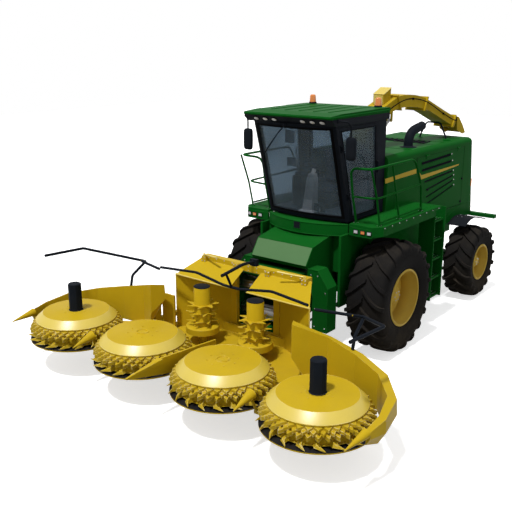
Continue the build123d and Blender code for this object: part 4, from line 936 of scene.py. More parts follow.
def makeSeals():
    # Seals round the windscreen, the right side pane, the rear pane and the door's pane.
    size, half = sealSizes, cabSizes["half"]
    shapes = [screenBand(*band) for band in size["bands"]]
    shapes.append(loopBar([(x, -half - 0.001, z) for x, z in sideDoorOutline(size["sideInset"])],
                          size["radius"]))
    rear = axleX + cabSizes["rear"] - 0.002
    shapes.append(loopBar([(rear, -size["rearHalf"], size["rearLow"]),
                           (rear, size["rearHalf"], size["rearLow"]),
                           (rear, size["rearHalf"], size["rearHigh"]),
                           (rear, -size["rearHalf"], size["rearHigh"])],
                          size["rearRadius"]))
    piece("cabSeals", "chassis", "rubberSeal", gather(shapes), 40)
    door = loopBar([(x, half + 0.001, z) for x, z in sideDoorOutline(size["doorInset"])], size["radius"])
    piece("doorSeal", "cab_door", "rubberSeal", door, 40)


def makeFascia():
    # Black fascia: the sloped front band under the roof, and its run along both sides and the rear.
    size = fasciaSizes
    half, (rear, front) = size["half"], size["frontX"]
    bands = [plate(fromAxle([(rear, -half, size["low"]), (rear, half, size["low"]),
                             (front, half, size["frontHigh"]), (front, -half, size["frontHigh"])]),
                   (0.0035, 0, -0.003))]
    outline = np.array(size["sideOutline"]) + (axleX, 0)
    bands += [sidePlate(outline, low, low + size["thick"]) for low in size["sides"]]
    bands.append(boxAt((-0.5, -0.494), (-half, half), (3.605, 3.69)))
    piece("cabFascia", "chassis", "blackPlastic", gather(bands), bevel=0.001)


def makeCab():
    makeSeals()
    makeFascia()
    # Roof: a rolled edge and shallow ribs over its top.
    size = roofSizes
    edge = tube(filleted(fromAxle(size["edge"]), 0.02), size["edgeRadius"], 8)
    ribs = [tube(fromAxle([(x, y, z) for x, z in size["ribLine"]]), size["ribRadius"],
                 8) for y in size["ribs"]]
    piece("roofEdge", "chassis", "greenPaint", gather([edge] + ribs), 50)
    # Wiper: motor, arm and blade across the windscreen.
    size = wiperSizes
    arm = screenPoints(size["armY"], size["armZ"], size["armOut"])
    blade = screenPoints(np.linspace(*size["bladeY"], 7), np.linspace(*size["bladeZ"], 7), size["bladeOut"])
    motor = screenPoints(*size["motor"], 0.01)
    piece("wiper", "chassis", "blackPlastic",
          gather([tube(arm, 0.007, 8), tube(blade, 0.009, 8), ball(motor, 0.028, 12)]), 40)
    # A handle on a base outside the door, and a grab bar on the right side.
    size, half = handleSizes, cabSizes["half"]
    bar = roundBar(fromAxle([(size["x"], half + out, z) for out, z in (
        (0.006, size["low"]), (size["out"], size["low"]), (size["out"], size["high"]),
        (0.006, size["high"]))]),
        size["radius"], 0.02)
    base = boxAt((-0.245, -0.195), (half, half + 0.01), (2.765, 2.975))
    piece("doorHandle", "cab_door", "blackPlastic", gather([bar, base]), bevel=0.002)
    piece("cabGrab", "chassis", "blackPaint", roundBar(fromAxle(size["grab"]), size["grabRadius"], 0.03), 40)
    print("cab trim made")


makeCab()

lampSizes = {
    "roofY": (0.6, 0.43, 0.26), "roofX": 1.125, "roofZ": 3.65, "wide": 1.25, "tall": 0.86, "sides": 24,
    "lens": [(0.0, 0.02), (0.02, 0.019), (0.034, 0.013), (0.037, 0.008), (0.0, 0.008)],
    "rim": [(0.036, 0.004), (0.036, 0.015), (0.042, 0.018), (0.047, 0.013), (0.049, 0.004)],
    "deckX": 0.62, "deck": ((0.92, "white"), (1.04, "amber"), (1.15, "white")),
    "beaconX": -0.41, "beaconY": 0.622,
    "beacon": [(0.0, 3.8), (0.056, 3.8), (0.055, 3.806), (0.047, 3.9), (0.041, 3.914), (0.028, 3.921),
               (0.0, 3.923)],
    "base": [(0.0, 3.7753), (0.066, 3.7753), (0.066, 3.786), (0.06, 3.793), (0.06, 3.802), (0.0, 3.802)]}


def makeLamps():
    # Roof lamps: a domed lens in a rim, square on the fascia. Deck lamps: boxes with lenses.
    size = lampSizes
    face = np.array([0.1, 0.0, -0.09]) / math.hypot(0.1, 0.09)
    up = np.array([0.09, 0.0, 0.1]) / math.hypot(0.1, 0.09)
    side = np.array([0.0, 1.0, 0.0])
    turn = np.arange(size["sides"]) / size["sides"] * full
    lenses, rims, ambers = [], [], []
    for y in [sign * y for y in size["roofY"] for sign in (1, -1)]:
        centre = np.array([axleX + size["roofX"], y, size["roofZ"]])
        for label, keepIn in (("lens", lenses), ("rim", rims)):
            radius, out = np.array(size[label]).T
            circle = (np.cos(turn)[:, None, None] * side * size["wide"]
                      + np.sin(turn)[:, None, None] * up * size["tall"])
            points = centre + radius[None, :, None] * circle + out[None, :, None] * face
            keepIn.append((points.reshape(-1, 3), gridFaces(size["sides"], len(radius), True, True)))
    front = axleX + size["deckX"]
    for sign in (1, -1):
        for y, kind in size["deck"]:
            low, high = sorted((sign * (y - 0.03), sign * (y + 0.03)))
            lens = block((front + 0.006, low, 1.982), (front + 0.0145, high, 2.024))
            (ambers if kind == "amber" else lenses).append(lens)
            rims.append(block((front + 0.0005, low - 0.01, 1.971), (front + 0.01, high + 0.01, 2.035)))
    bases = []
    for y in (size["beaconY"], -size["beaconY"]):
        ambers.append(turned(size["beacon"], (axleX + size["beaconX"], y, 0), "z", 32))
        bases.append(turned(size["base"], (axleX + size["beaconX"], y, 0), "z", 32))
    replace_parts(piece("whiteLamps", "chassis", "whiteLens", gather(lenses), 40), "lamps_white")
    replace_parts(piece("amberLamps", "chassis", "amberLens", gather(ambers), 40), "lamps_amber")
    piece("lampRims", "chassis", "blackPlastic", gather(rims + bases), 40)
    print("lamps made")


makeLamps()

mirrorSizes = {"x": 0.905, "y": 0.95, "low": 3.112, "high": 3.448, "half": 0.083, "sides": 40,
               "layers": [(-0.024, 0.97), (-0.022, 1.0), (0.000, 1.0), (0.014, 0.95), (0.022, 0.82),
                          (0.026, 0.55)],
               "arm": [(1.000, 0.7905, 3.67), (1.000, 0.95, 3.67), (0.905, 0.95, 3.6), (0.905, 0.95, 3.44)],
               "armRadius": 0.013}


def makeMirrors():
    # Mirrors: a rounded housing with a back that bulges forward, its glass behind, and a bent arm.
    # The housing's outline is a circle's cosine and sine raised to small powers, which squares it off.
    size = mirrorSizes
    x, count = size["x"] + axleX, size["sides"]
    middle, tall = (size["low"] + size["high"]) / 2, (size["high"] - size["low"]) / 2
    turn = np.arange(count) / count * full
    shapeY = np.sign(np.cos(turn)) * np.abs(np.cos(turn)) ** 0.42 * size["half"]
    shapeZ = np.sign(np.sin(turn)) * np.abs(np.sin(turn)) ** 0.32 * tall
    rings = [np.stack([np.full(count, x + out), size["y"] + shapeY * wide, middle + shapeZ * wide], axis=-1)
             for out, wide in size["layers"]]
    glass = np.stack([np.full(count, x - 0.0245), size["y"] + shapeY * 0.88, middle + shapeZ * 0.92], axis=-1)
    arm = roundBar(fromAxle(size["arm"]), size["armRadius"], 0.05)
    clamp = boxAt((0.975, 1.025), (0.7905, 0.8), (3.64, 3.7))
    body = gather([ringStack(np.stack(rings)), arm, clamp])
    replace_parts(piece("mirrorHousings", "chassis", "blackPlastic", bothSides(body), 40), "mirrors")
    piece("mirrorPanes", "chassis", "mirrorGlass", bothSides(plate(glass, (-0.001, 0, 0))), 30)
    print("mirrors made")


makeMirrors()

railSizes = {
    "bars": [  # corners of each bar, its radius, and how far its bends start from the corners
        ([(0.48, 0.83, 2.1), (0.48, 0.83, 2.13), (0.6, 0.83, 2.525), (0.69, 0.83, 2.97),
          (0.754, 1.22, 2.99), (-0.59, 1.22, 2.99), (-0.86, 1.22, 2.556), (-0.9, 1.22, 2.15),
          (-0.9, 1.22, 2.1)], 0.0185, 0.13),
        ([(0.6, 0.83, 2.525), (0.56, 1.22, 2.53), (-0.86, 1.22, 2.556)], 0.0155, 0.13),
        ([(0.754, 1.22, 2.99), (0.56, 1.22, 2.53), (0.455, 1.22, 2.15), (0.455, 1.22, 2.1)], 0.0155, 0.05),
        ([(0.131, 1.22, 2.99), (-0.157, 1.22, 2.12)], 0.0145, 0.05),
        ([(0.455, 1.22, 2.15), (-0.9, 1.22, 2.15)], 0.0145, 0.05)],
    "feet": ((0.48, 0.83), (0.455, 1.22), (-0.9, 1.22), (-0.16, 1.22)),
    "footHalf": 0.034, "footTop": 2.106, "boltOff": 0.024}


def makeRails():
    # Handrails: bent bars with feet bolted to the deck.
    size = railSizes
    bars = [roundBar(fromAxle(corners), radius, bend) for corners, radius, bend in size["bars"]]
    feet, bolts = [], []
    half, off = size["footHalf"], size["boltOff"]
    for x, y in size["feet"]:
        feet.append(boxAt((x - half, x + half), (y - half, y + half), (2.1003, size["footTop"])))
        bolts += [(x + axleX + dx, y + dy, size["footTop"]) for dx in (-off, off) for dy in (-off, off)]
    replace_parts(piece("handRails", "chassis", "greenPaint", bothSides(gather(bars + feet)), 50), "handrails")
    piece("railBolts", "chassis", "brightSteel", bothSides(boltHeads(bolts, (0, 0, 1), 0.006, 0.005)), 30)
    print("rails made")


makeRails()


# Inside the cab.
insideSizes = {
    "floor": 2.172, "columnX": 0.52, "columnLean": 0.1, "wheel": 0.185, "wheelTilt": 28,
    "steps": ((0.0, 0.04, 0.12, 0.13), (0.04, 0.2, 0.082, 0.085), (0.2, 0.38, 0.074, 0.078),
              (0.38, 0.54, 0.066, 0.07), (0.54, 0.6, 0.052, 0.056)),  # low, high, half in x and in y
    "wheelRadius": 0.014, "pedals": (-0.16, 0.16, 0.28), "lining": 0.048}


def makeInside():
    # Steering column and wheel, console, pedals, screens and lining.
    size = insideSizes
    x, floor = size["columnX"] + axleX, size["floor"]
    # Column: a tapering stack of steps on a foot, and a shaft.
    square = ((-1, -1), (1, -1), (1, 1), (-1, 1))
    steps = []
    for low, high, halfX, halfY in size["steps"]:
        layers = ((low, 1.0), (low + 0.012, 1.06), (high - 0.01, 0.95), (high, 0.9))
        steps.append(ringStack(np.array([
            [(x - size["columnLean"] * z + dx * halfX * wide, dy * halfY * wide, floor + z) for dx,
             dy in square]
            for z, wide in layers])))
    shaft = tube([(x - 0.05, 0, floor + 0.58), (x - 0.1, 0, floor + 0.66)], 0.035, 16)
    piece("columnCovers", "chassis", "greyPlastic", gather(steps + [shaft]), 30)
    # Steering wheel: a tilted rim with three spokes and a hub.
    centre = np.array([x - 0.115, 0.0, floor + 0.69])
    turn = np.linspace(0, full, 49)
    tilt = math.radians(size["wheelTilt"])
    ahead, across = np.array([math.cos(tilt), 0, math.sin(tilt)]), np.array([0, 1, 0])
    ring = centre + size["wheel"] * (np.cos(turn)[:, None] * ahead + np.sin(turn)[:, None] * across)
    spokes = [tube([centre, centre + size["wheel"] * (math.cos(a) * ahead + math.sin(a) * across)], 0.011, 8)
              for a in (math.pi / 2, -math.pi / 2, math.pi)]
    wheel = [tube(ring, size["wheelRadius"], 10)] + spokes + [ball(centre, 0.05, 14, (1, 1, 0.6))]
    # Right hand console with a lever, floor pedals, and the seat's base.
    console = [boxAt((-0.22, 0.3), (-0.5, -0.33), (floor, floor + 0.5)),
               boxAt((-0.1, 0.28), (-0.47, -0.35), (floor + 0.5, floor + 0.56))]
    lever = [tube(fromAxle([(0.2, -0.41, floor + 0.56), (0.22, -0.41, floor + 0.68)]), 0.01, 10),
             ball(fromAxle((0.225, -0.41, floor + 0.7)), 0.032, 14, (1, 0.8, 1.3))]
    pedals = [boxAt((0.56, 0.58), (y - 0.045, y + 0.045),
                    (floor + 0.03, floor + 0.16)) for y in size["pedals"]]
    base = [boxAt((-0.18, 0.2), (-0.17, 0.17), (floor, floor + 0.1)),
            boxAt((-0.13, 0.15), (-0.14, 0.14), (floor + 0.1, floor + 0.235))]
    controls = piece("cabControls", "chassis", "blackPlastic",
                     gather(wheel + console + lever + pedals + base),
                     bevel=0.004)
    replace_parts(controls, "cab_controls")
    # Two screens on the right side, the upper one on an arm.
    screens = [boxAt((0.34, 0.37), (-0.62, -0.44), (3.2, 3.4)),
               tube(fromAxle([(0.355, -0.6, 3.38), (0.4, -0.66, 3.5)]), 0.01, 8),
               boxAt((0.3, 0.33), (-0.6, -0.42), (2.82, 2.96))]
    piece("cabScreens", "chassis", "slatePlastic", gather(screens), bevel=0.004)
    # Lining: a floor mat, the back wall below the rear window, and a box along the right side.
    inner = cabSizes["half"] - size["lining"]
    mat = boxAt((-0.42, 0.5), (-inner, inner), (floor - 0.0015, floor + 0.006))
    wall = boxAt((-0.43, -0.405), (-inner, inner), (floor + 0.01, 2.595))
    box = boxAt((-0.4, 0.1), (-0.66, -0.54), (floor + 0.01, floor + 0.42))
    piece("cabLining", "chassis", "slatePlastic", gather([mat, wall, box]), bevel=0.006)
    print("cab inside made")


makeInside()

seatSizes = {
    "cushions": (((-0.215, -0.225, 2.445), (0.255, 0.225, 2.538), 2),
                 ((-0.298, -0.215, 2.56), (-0.19, 0.215, 3.075), 0),
                 ((-0.298, -0.215, 2.52), (-0.23, 0.215, 2.56), 0)),  # low, high, and the axis that swells
    "seam": 0.62, "rests": (-0.27, 0.27), "restLine": [(-0.2, 2.6), (-0.2, 2.7), (0.12, 2.7)],
    "restRadius": 0.022}


def cushion(low, high):
    # A closed block with many faces, which the padding then swells.
    count = 6
    line = [np.linspace(a, b, count) for a, b in zip(low, high)]
    points, faces, index = [], [], {}
    for axis in range(3):
        for end in (0, count - 1):
            for i in range(count - 1):
                for j in range(count - 1):
                    corner = []
                    for di, dj in ((0, 0), (1, 0), (1, 1), (0, 1)):
                        key = [0, 0, 0]
                        key[axis] = end
                        key[(axis + 1) % 3], key[(axis + 2) % 3] = i + di, j + dj
                        key = tuple(key)
                        if key not in index:
                            index[key] = len(points)
                            points.append([line[k][key[k]] for k in range(3)])
                        corner.append(index[key])
                    faces.append(corner)
    return np.array(points), faces


def makeSeat():
    # Seat: a cushion and a back whose faces swell between their seams, on a pan with arm rests.
    # A face's height is its seam's share plus the rest of it times one minus each side's fourth power.
    size = seatSizes
    parts = []
    for low, high, axis in size["cushions"]:
        points, faces = cushion(fromAxle(low), fromAxle(high))
        middle = (points.max(0) + points.min(0)) / 2
        reach = (points.max(0) - points.min(0)) / 2
        share = (points - middle) / reach
        others = [k for k in range(3) if k != axis]
        swell = (1 - share[:, others[0]] ** 4) * (1 - share[:, others[1]] ** 4)
        puffed = size["seam"] + (1 - size["seam"]) * swell
        points[:, axis] = middle[axis] + share[:, axis] * reach[axis] * puffed
        parts.append((points, faces))
    seat = piece("seatPadding", "chassis", "seatCloth", gather(parts), 60)
    soft = seat.modifiers.new("soft", "SUBSURF")
    soft.levels = 2
    soft.render_levels = 2
    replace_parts(seat, "seat")
    rests = [roundBar(fromAxle([(x, y, z) for x, z in size["restLine"]]), size["restRadius"], 0.06)
             for y in size["rests"]]
    pan = boxAt((-0.21, 0.245), (-0.215, 0.215), (2.41, 2.44))
    piece("seatPan", "chassis", "blackPlastic", gather(rests + [pan]), bevel=0.006)
    print("seat made")


makeSeat()


# Nose, decks, ladder and fenders.
noseSizes = {
    "bandHalf": 0.76, "bandBow": 0.281, "bandFront": 0.866, "lipHalf": 0.745, "lipZ": (2.077, 1.903),
    "plateHalf": 0.058, "plateZ": (1.965, 2.072), "plateRim": 0.006,
    "slopeHalf": 0.512, "slopeTop": (1.181, 1.7988), "slopeFoot": (1.3495, 1.5515),
    "lipFoot": (1.2905, 1.482),
    "edgeY": 0.519, "edgeLine": [(0.602, 1.904), (0.65, 1.904), (1.18, 1.799), (1.349, 1.549)],
    "edgeRadius": 0.006, "face": 1.3,
    "outerFold": [(0.879, 0.552), (0.879, 1.25), (0.7, 1.499)],
    "innerFold": [(0.62, 0.552), (0.62, 1.1), (0.519, 1.3)],
    "bolts": ((0.84, 0.62), (0.84, 0.9), (0.84, 1.18), (0.66, 0.62), (0.66, 0.9), (0.7, 1.42), (0.58, 1.42))}
deckSizes = {"top": 2.1, "barFrom": -1.44, "barTo": 0.52, "barStep": 0.06, "rowStep": 0.12, "rowShift": 0.03,
             "outer": 1.24, "cabInner": 0.79, "bodyInner": 0.83, "cabEnd": -0.5,
             "boltY": 1.3073, "boltZ": 2.075, "boltFrom": -1.4, "boltTo": 0.45, "boltStep": 0.23}


def bandPoints(across, height, out):
    # Points on the bowed band at the cab's foot: an arc in plan, upright.
    radius = (noseSizes["bandHalf"] ** 2 + noseSizes["bandBow"] ** 2) / (2 * noseSizes["bandBow"])
    across, height = np.broadcast_arrays(np.asarray(across, float), np.asarray(height, float))
    x = axleX + noseSizes["bandFront"] - radius
    return np.stack([x + np.sqrt((radius + out) ** 2 - across ** 2), across, height], axis=-1)


def onBand(yLow, yHigh, zLow, zHigh, thick, count=12):
    # A thin plate laid on the bowed band.
    across, height = np.linspace(yLow, yHigh, count)[:, None], np.linspace(zLow, zHigh, 3)[None, :]
    return walled(bandPoints(across, height, 0.0005), thick)


def makeNose():
    # Blank plate in a rim on the bowed band, lips along the band, and the sheets of the bonnet's slope, the
    # upper one in a lighter green that paints a sheen on it.
    size = noseSizes
    half, (low, high), rim = size["plateHalf"], size["plateZ"], size["plateRim"]
    piece("nosePlate", "chassis", "blackPlastic", onBand(-half, half, low, high, 0.004), 30)
    rims = [onBand(-half - rim, -half, low - rim, high + rim, rim, 3),
            onBand(half, half + rim, low - rim, high + rim, rim, 3),
            onBand(-half, half, high, high + rim, rim), onBand(-half, half, low - rim, low, rim)]
    piece("nosePlateRim", "chassis", "greenPaint", gather(rims), 30)
    lips = [tube(bandPoints(np.linspace(-size["lipHalf"], size["lipHalf"], 31), z, 0.0), 0.007, 8)
            for z in size["lipZ"]]
    piece("bandLips", "chassis", "greenPaint", gather(lips), 50)
    for name, finish, (x0, z0), (x1, z1), thick in (
            ("noseSlope", "paintedSheenGreen", size["slopeTop"], size["slopeFoot"], (0.0012, 0, 0.0008)),
            ("noseLip", "greenPaint", size["slopeFoot"], size["lipFoot"], (-0.002, 0, 0.001))):
        half = size["slopeHalf"]
        sheet = plate(fromAxle([(x0, -half, z0), (x0, half, z0), (x1, half, z1), (x1, -half, z1)]), thick)
        piece(name, "chassis", finish, sheet, 30)
    # Near-black sheets below the band, either side of the bonnet: painted shade in the recess there.
    recessShade = [boxAt((0.47, 0.49), (sign * 0.62 - 0.1, sign * 0.62 + 0.1), (1.1, 1.9)) for sign in (1, -1)]
    piece("noseRecessShade", "chassis", "rubberSeal", gather(recessShade), 30)
    # Folded edges of the bonnet and the portal, and the portal's bolts.
    radius, y, face = size["edgeRadius"], size["edgeY"], axleX + size["face"]
    edges = [roundBar(fromAxle([(x, sign * y, z) for x, z in size["edgeLine"]]), radius, 0.02,
                      8) for sign in (1, -1)]
    bend, bendZ = size["edgeLine"][2]
    edges.append(tube(fromAxle([(bend, -y, bendZ), (bend, y, bendZ)]), radius, 8))
    outer = size["outerFold"]
    edges.append(bentBar([(face, -y, z) for y, z in outer] + [(face, y, z) for y, z in outer[::-1]], radius,
                         8))
    for sign in (-1, 1):
        edges.append(bentBar([(face, sign * y, z) for y, z in size["innerFold"]], radius, 8))
    piece("noseEdges", "chassis", "greenPaint", gather(edges), 50)
    spots = [(face, sign * y, z) for sign in (1, -1) for y, z in size["bolts"]]
    piece("noseBolts", "chassis", "brightSteel", boltHeads(spots, (1, 0, 0), 0.011, 0.009), 30)


def makeDecks():
    # Decks: short tread bars on top, each row turned the other way, and bolts along the skirt.
    size = deckSizes
    bars, bolts = [], []
    for sign in (1, -1):
        for index, x in enumerate(np.arange(size["barFrom"], size["barTo"], size["barStep"])):
            low = size["bodyInner"] if x < size["cabEnd"] else size["cabInner"]
            for y in np.arange(low, size["outer"], size["rowStep"]) + size["rowShift"] * (index % 2):
                bars.append(((x + axleX, sign * y, size["top"]), index % 2))
    for x in np.arange(size["boltFrom"], size["boltTo"], size["boltStep"]):
        bolts.append((axleX + x, size["boltY"], size["boltZ"]))
    lug = np.array([[(-0.014, -0.003, 0), (0.014, -0.003, 0), (0.014, 0.003, 0), (-0.014, 0.003, 0)],
                    [(-0.009, -0.0015, 0.003), (0.009, -0.0015, 0.003), (0.009, 0.0015, 0.003),
                     (-0.009, 0.0015, 0.003)]])
    spin = np.array([[0.7, 0.7, 0], [-0.7, 0.7, 0], [0, 0, 1]])
    shapes = [ringStack((lug @ (spin if odd else spin.T)) + np.array(spot)) for spot, odd in bars]
    piece("deckTread", "chassis", "greenPaint", gather(shapes), 30)
    piece("deckBolts", "chassis", "brightSteel", bothSides(boltHeads(bolts, (0, 1, 0), 0.008, 0.006)), 30)
    print("front trim made")


makeNose()
makeDecks()

ladderSizes = {"sideX": (-1.728, -1.328), "sideWide": 0.026, "sideY": (1.012, 1.298), "sideZ": (0.442, 2.049),
               "treads": (0.46, 0.8, 1.14, 1.48, 1.82), "treadX": (-1.702, -1.328), "treadY": (1.042, 1.268),
               "treadTall": 0.034, "gripX": (-1.67, -1.36), "gripY": (1.09, 1.155, 1.22), "grips": 8,
               "ribsZ": (0.53, 1.28), "ribStep": 0.05}
tankSizes = {"x": (-2.36, -1.7), "y": (0.36, 0.78), "z": (0.62, 1.00), "round": 0.04,
             "strapX": (-2.24, -1.87), "strapWide": 0.05, "strapY": 0.57, "strapHalf": 0.213,
             "pipe": [(-1.25, 1.00, 1.4), (-1.57, 1.00, 1.37), (-2.07, 1.00, 1.235), (-2.4, 1.00, 1.1),
                      (-2.4, 0.8, 1.1)], "pipeRadius": 0.02}


def makeLadder():
    # Ladder: sides, treads with raised grips, and a ribbed panel behind it.
    size = ladderSizes
    bars = [boxAt((x, x + size["sideWide"]), size["sideY"], size["sideZ"]) for x in size["sideX"]]
    grips = []
    for z in size["treads"]:
        bars.append(boxAt(size["treadX"], size["treadY"], (z, z + size["treadTall"])))
        for x in np.linspace(*size["gripX"], size["grips"]):
            grips += [(axleX + x, y, z + size["treadTall"]) for y in size["gripY"]]
    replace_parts(piece("ladderSides", "chassis", "greenPaint", gather(bars), bevel=0.003), "ladder")
    piece("ladderGrips", "chassis", "brightSteel", boltHeads(grips, (0, 0, 1), 0.014, 0.004, 8), 30)
    panel = [boxAt((-1.69, -1.34), (1.006, 1.01), (0.5, 1.3))]
    panel += [boxAt((-1.69, -1.34), (1.01, 1.014), (z, z + 0.012))
              for z in np.arange(*size["ribsZ"], size["ribStep"])]
    piece("ladderPanel", "chassis", "castIron", gather(panel), 30)
    # Under the body: a side pipe, and a fuel tank on each side with two straps.
    size = tankSizes
    piece("sidePipe", "chassis", "greenPaint", roundBar(fromAxle(size["pipe"]), size["pipeRadius"], 0.16), 50)
    piece("fuelTank", "chassis", "blackPlastic", bothSides(boxAt(size["x"], size["y"], size["z"])),
          bevel=size["round"], segments=4)
    straps = [boxAt((x, x + size["strapWide"]),
                    (sign * size["strapY"] - size["strapHalf"], sign * size["strapY"] + size["strapHalf"]),
                    (0.615, 1.006)) for x in size["strapX"] for sign in (1, -1)]
    piece("tankStraps", "chassis", "brightSteel", gather(straps), bevel=0.012)
    print("ladder made")


makeLadder()

fenderSizes = {"line": [(-2.94, 1.442), (-3.2, 1.542), (-3.45, 1.542), (-3.85, 1.442), (-3.95, 1.412)],
               "y": 0.975, "half": 0.1745, "halfThick": 0.006, "rim": 0.009, "rimOut": 0.1715,
               "boltX": (-3.25, -3.4), "boltY": (0.86, 0.95)}


def makeFenders():
    # Rear fenders: a bent sheet with a rolled outer edge and a few bolts.
    size = fenderSizes
    half, thick = size["half"], size["halfThick"]
    path = smoothLine(filleted(fromAxle([(x, size["y"], z - thick) for x, z in size["line"]]), 0.1, 4), 2)
    sheet = swept([(-half, -thick), (half, -thick), (half, thick), (-half, thick)], path, (0, 0, 1))
    rim = tube(path + (0, size["rimOut"], 0), size["rim"], 8)
    fender = piece("rearFenders", "chassis", "blackPlastic", bothSides(gather([sheet, rim])), 40)
    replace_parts(fender, "rear_fenders")
    bolts = [(axleX + x, y, size["line"][1][1]) for x in size["boltX"] for y in size["boltY"]]
    piece("fenderBolts", "chassis", "brightSteel", bothSides(boltHeads(bolts, (0, 0, 1), 0.009, 0.006)), 30)
    print("fenders made")


makeFenders()


# Rear body.
hoodMarks = {  # lines of (x, z) on the body's side, from the front axle
    "seams": [[(-0.5, 2.861), (-1.391, 2.868), (-1.481, 2.82), (-1.535, 2.69), (-1.584, 2.614),
               (-1.915, 1.735)],
              [(-0.658, 2.85), (-0.956, 1.89)], [(-0.505, 1.88), (-0.993, 1.883), (-1.895, 1.79)]],
    "creases": [[(-0.505, 2.36), (-1.68, 2.381)], [(-0.652, 2.083), (-1.6, 2.137)],
                [(-2.6, 1.5), (-3.386, 1.721), (-3.96, 1.74)]],
    "panelGap": [(-3.4765, 1.7435), (-3.4765, 2.8585), (-1.508, 2.8585), (-1.924, 1.7435)],
    "knobs": [(-1.98, 2.245), (-2.02, 1.8), (-3.44, 1.8), (-3.44, 2.245)]}
hoodSizes = {
    "handleX": -0.75, "handle": [(0.797, 2.376), (0.85, 2.376), (0.85, 2.091), (0.797, 2.091)],
    "knob": [(0.0, 0.796), (0.022, 0.796), (0.022, 0.812), (0.014, 0.822), (0.0, 0.822)],
    "wallX": -3.8, "wallTop": 3.000, "wallLean": 0.22, "wallTall": 1.55, "lampZ": 1.7,
    "slatsZ": (1.95, 2.8), "slatStep": 0.045, "slatHalf": 0.52, "doorHalf": 0.55, "doorZ": (1.9, 2.82),
    "top": 3.0, "topSeams": (-1.45, -2.3, -2.75, -3.4), "seamHalf": 0.71, "cap": (-3.05, 0.62)}
exhaustSizes = {"line": [(-1.74, 0.5, 3.001), (-1.74, 0.5, 3.14), (-1.85, 0.5, 3.27),
                         (-2.23, 0.5, 3.33)], "radius": 0.0795, "hollow": 0.068,
                "mouth": (-2.232, 0.5, 3.3304), "run": (-0.38, 0.0, 0.06),
                "collar": [(0.08, 3.0005), (0.15, 3.0005), (0.15, 3.006), (0.095, 3.014), (0.08, 3.03)]}


def rearWall(z):
    # The rear wall's x at a height: it leans back as it goes down.
    size = hoodSizes
    return axleX + size["wallX"] - size["wallLean"] * (size["wallTop"] - z) / size["wallTall"]


def makeHoodSides():
    # Seams, creases and a handle on the body's sides; knobs and a dark gap round each side panel.
    size = hoodSizes
    seams = [bentBar([(x + axleX, bodyHalf, z) for x, z in line], 0.0035, 6) for line in hoodMarks["seams"]]
    green = [bentBar([(x + axleX, bodyHalf - 0.001, z) for x, z in line], 0.006,
                     8) for line in hoodMarks["creases"]]
    green.append(roundBar(fromAxle([(size["handleX"], y, z) for y, z in size["handle"]]), 0.011, 0.03))
    piece("hoodSeams", "chassis", "rubberSeal", gather(seams + [mirrored(seam) for seam in seams]), 50)
    piece("hoodCreases", "chassis", "greenPaint", gather(green + [mirrored(shape) for shape in green]), 50)
    for side, sign in sides:
        knobs = gather([turned(size["knob"], (x + axleX, 0, z), "y", 20) for x, z in hoodMarks["knobs"]])
        piece("panelKnobs" + side.capitalize(), f"side_panel_{side}", "blackPlastic", toSide(knobs, sign), 30)
        gap = loopBar([(x + axleX, bodyHalf - 0.0015, z) for x, z in hoodMarks["panelGap"]], 0.0035, 6)
        piece("panelEdge" + side.capitalize(), f"side_panel_{side}", "rubberSeal", toSide(gap, sign), 50)


def makeRearWall():
    # Amber reflectors, whose glowing amber lens is a painted glint since they are no lamps, and lamp clusters
    # low on the rear wall.
    size = hoodSizes
    wall = rearWall(size["lampZ"])
    ambers, reds, dark = [], [], []
    for sign in (1, -1):
        ambers.append(boxAt((-3.945, -3.905), (sign * 0.8025 - 0.0025, sign * 0.8025 + 0.0025), (2.03, 2.18)))
        dark.append(block((wall - 0.035, sign * 0.62 - 0.13, 1.64), (wall + 0.01, sign * 0.62 + 0.13, 1.76)))
        ambers.append(block((wall - 0.042, sign * 0.7 - 0.035, 1.655),
                            (wall - 0.034, sign * 0.7 + 0.035, 1.745)))
        reds.append(block((wall - 0.042, sign * 0.58 - 0.07, 1.655),
                          (wall - 0.034, sign * 0.58 + 0.07, 1.745)))
    piece("sideReflectors", "chassis", "amberLens", gather(ambers), bevel=0.002)
    piece("rearLamps", "chassis", "redLens", gather(reds), bevel=0.002)
    # Slats of the cooler's opening in a bar frame, and a blank plate below.
    half = size["slatHalf"]
    for z in np.arange(*size["slatsZ"], size["slatStep"]):
        wall = rearWall(z)
        dark.append(plate([(wall + 0.002, -half, z), (wall + 0.002, half, z), (wall - 0.014, half, z - 0.024),
                           (wall - 0.014, -half, z - 0.024)], (-0.003, 0, 0.001)))
    piece("rearSlats", "chassis", "blackPlastic", gather(dark), 30)
    half, (low, high) = size["doorHalf"], size["doorZ"]
    foot, top = rearWall(low) - 0.002, rearWall(high) - 0.002
    bar = loopBar([(top, -half, high), (top, half, high), (foot, half, low), (foot, -half, low)], 0.014, 8)
    piece("rearDoorFrame", "chassis", "greenPaint", bar, 50)
    spot = boxAt((-4.018, -4.004), (-0.26, 0.26), (1.515, 1.625))
    piece("rearPlate", "chassis", "yellowPaint", spot, bevel=0.003)


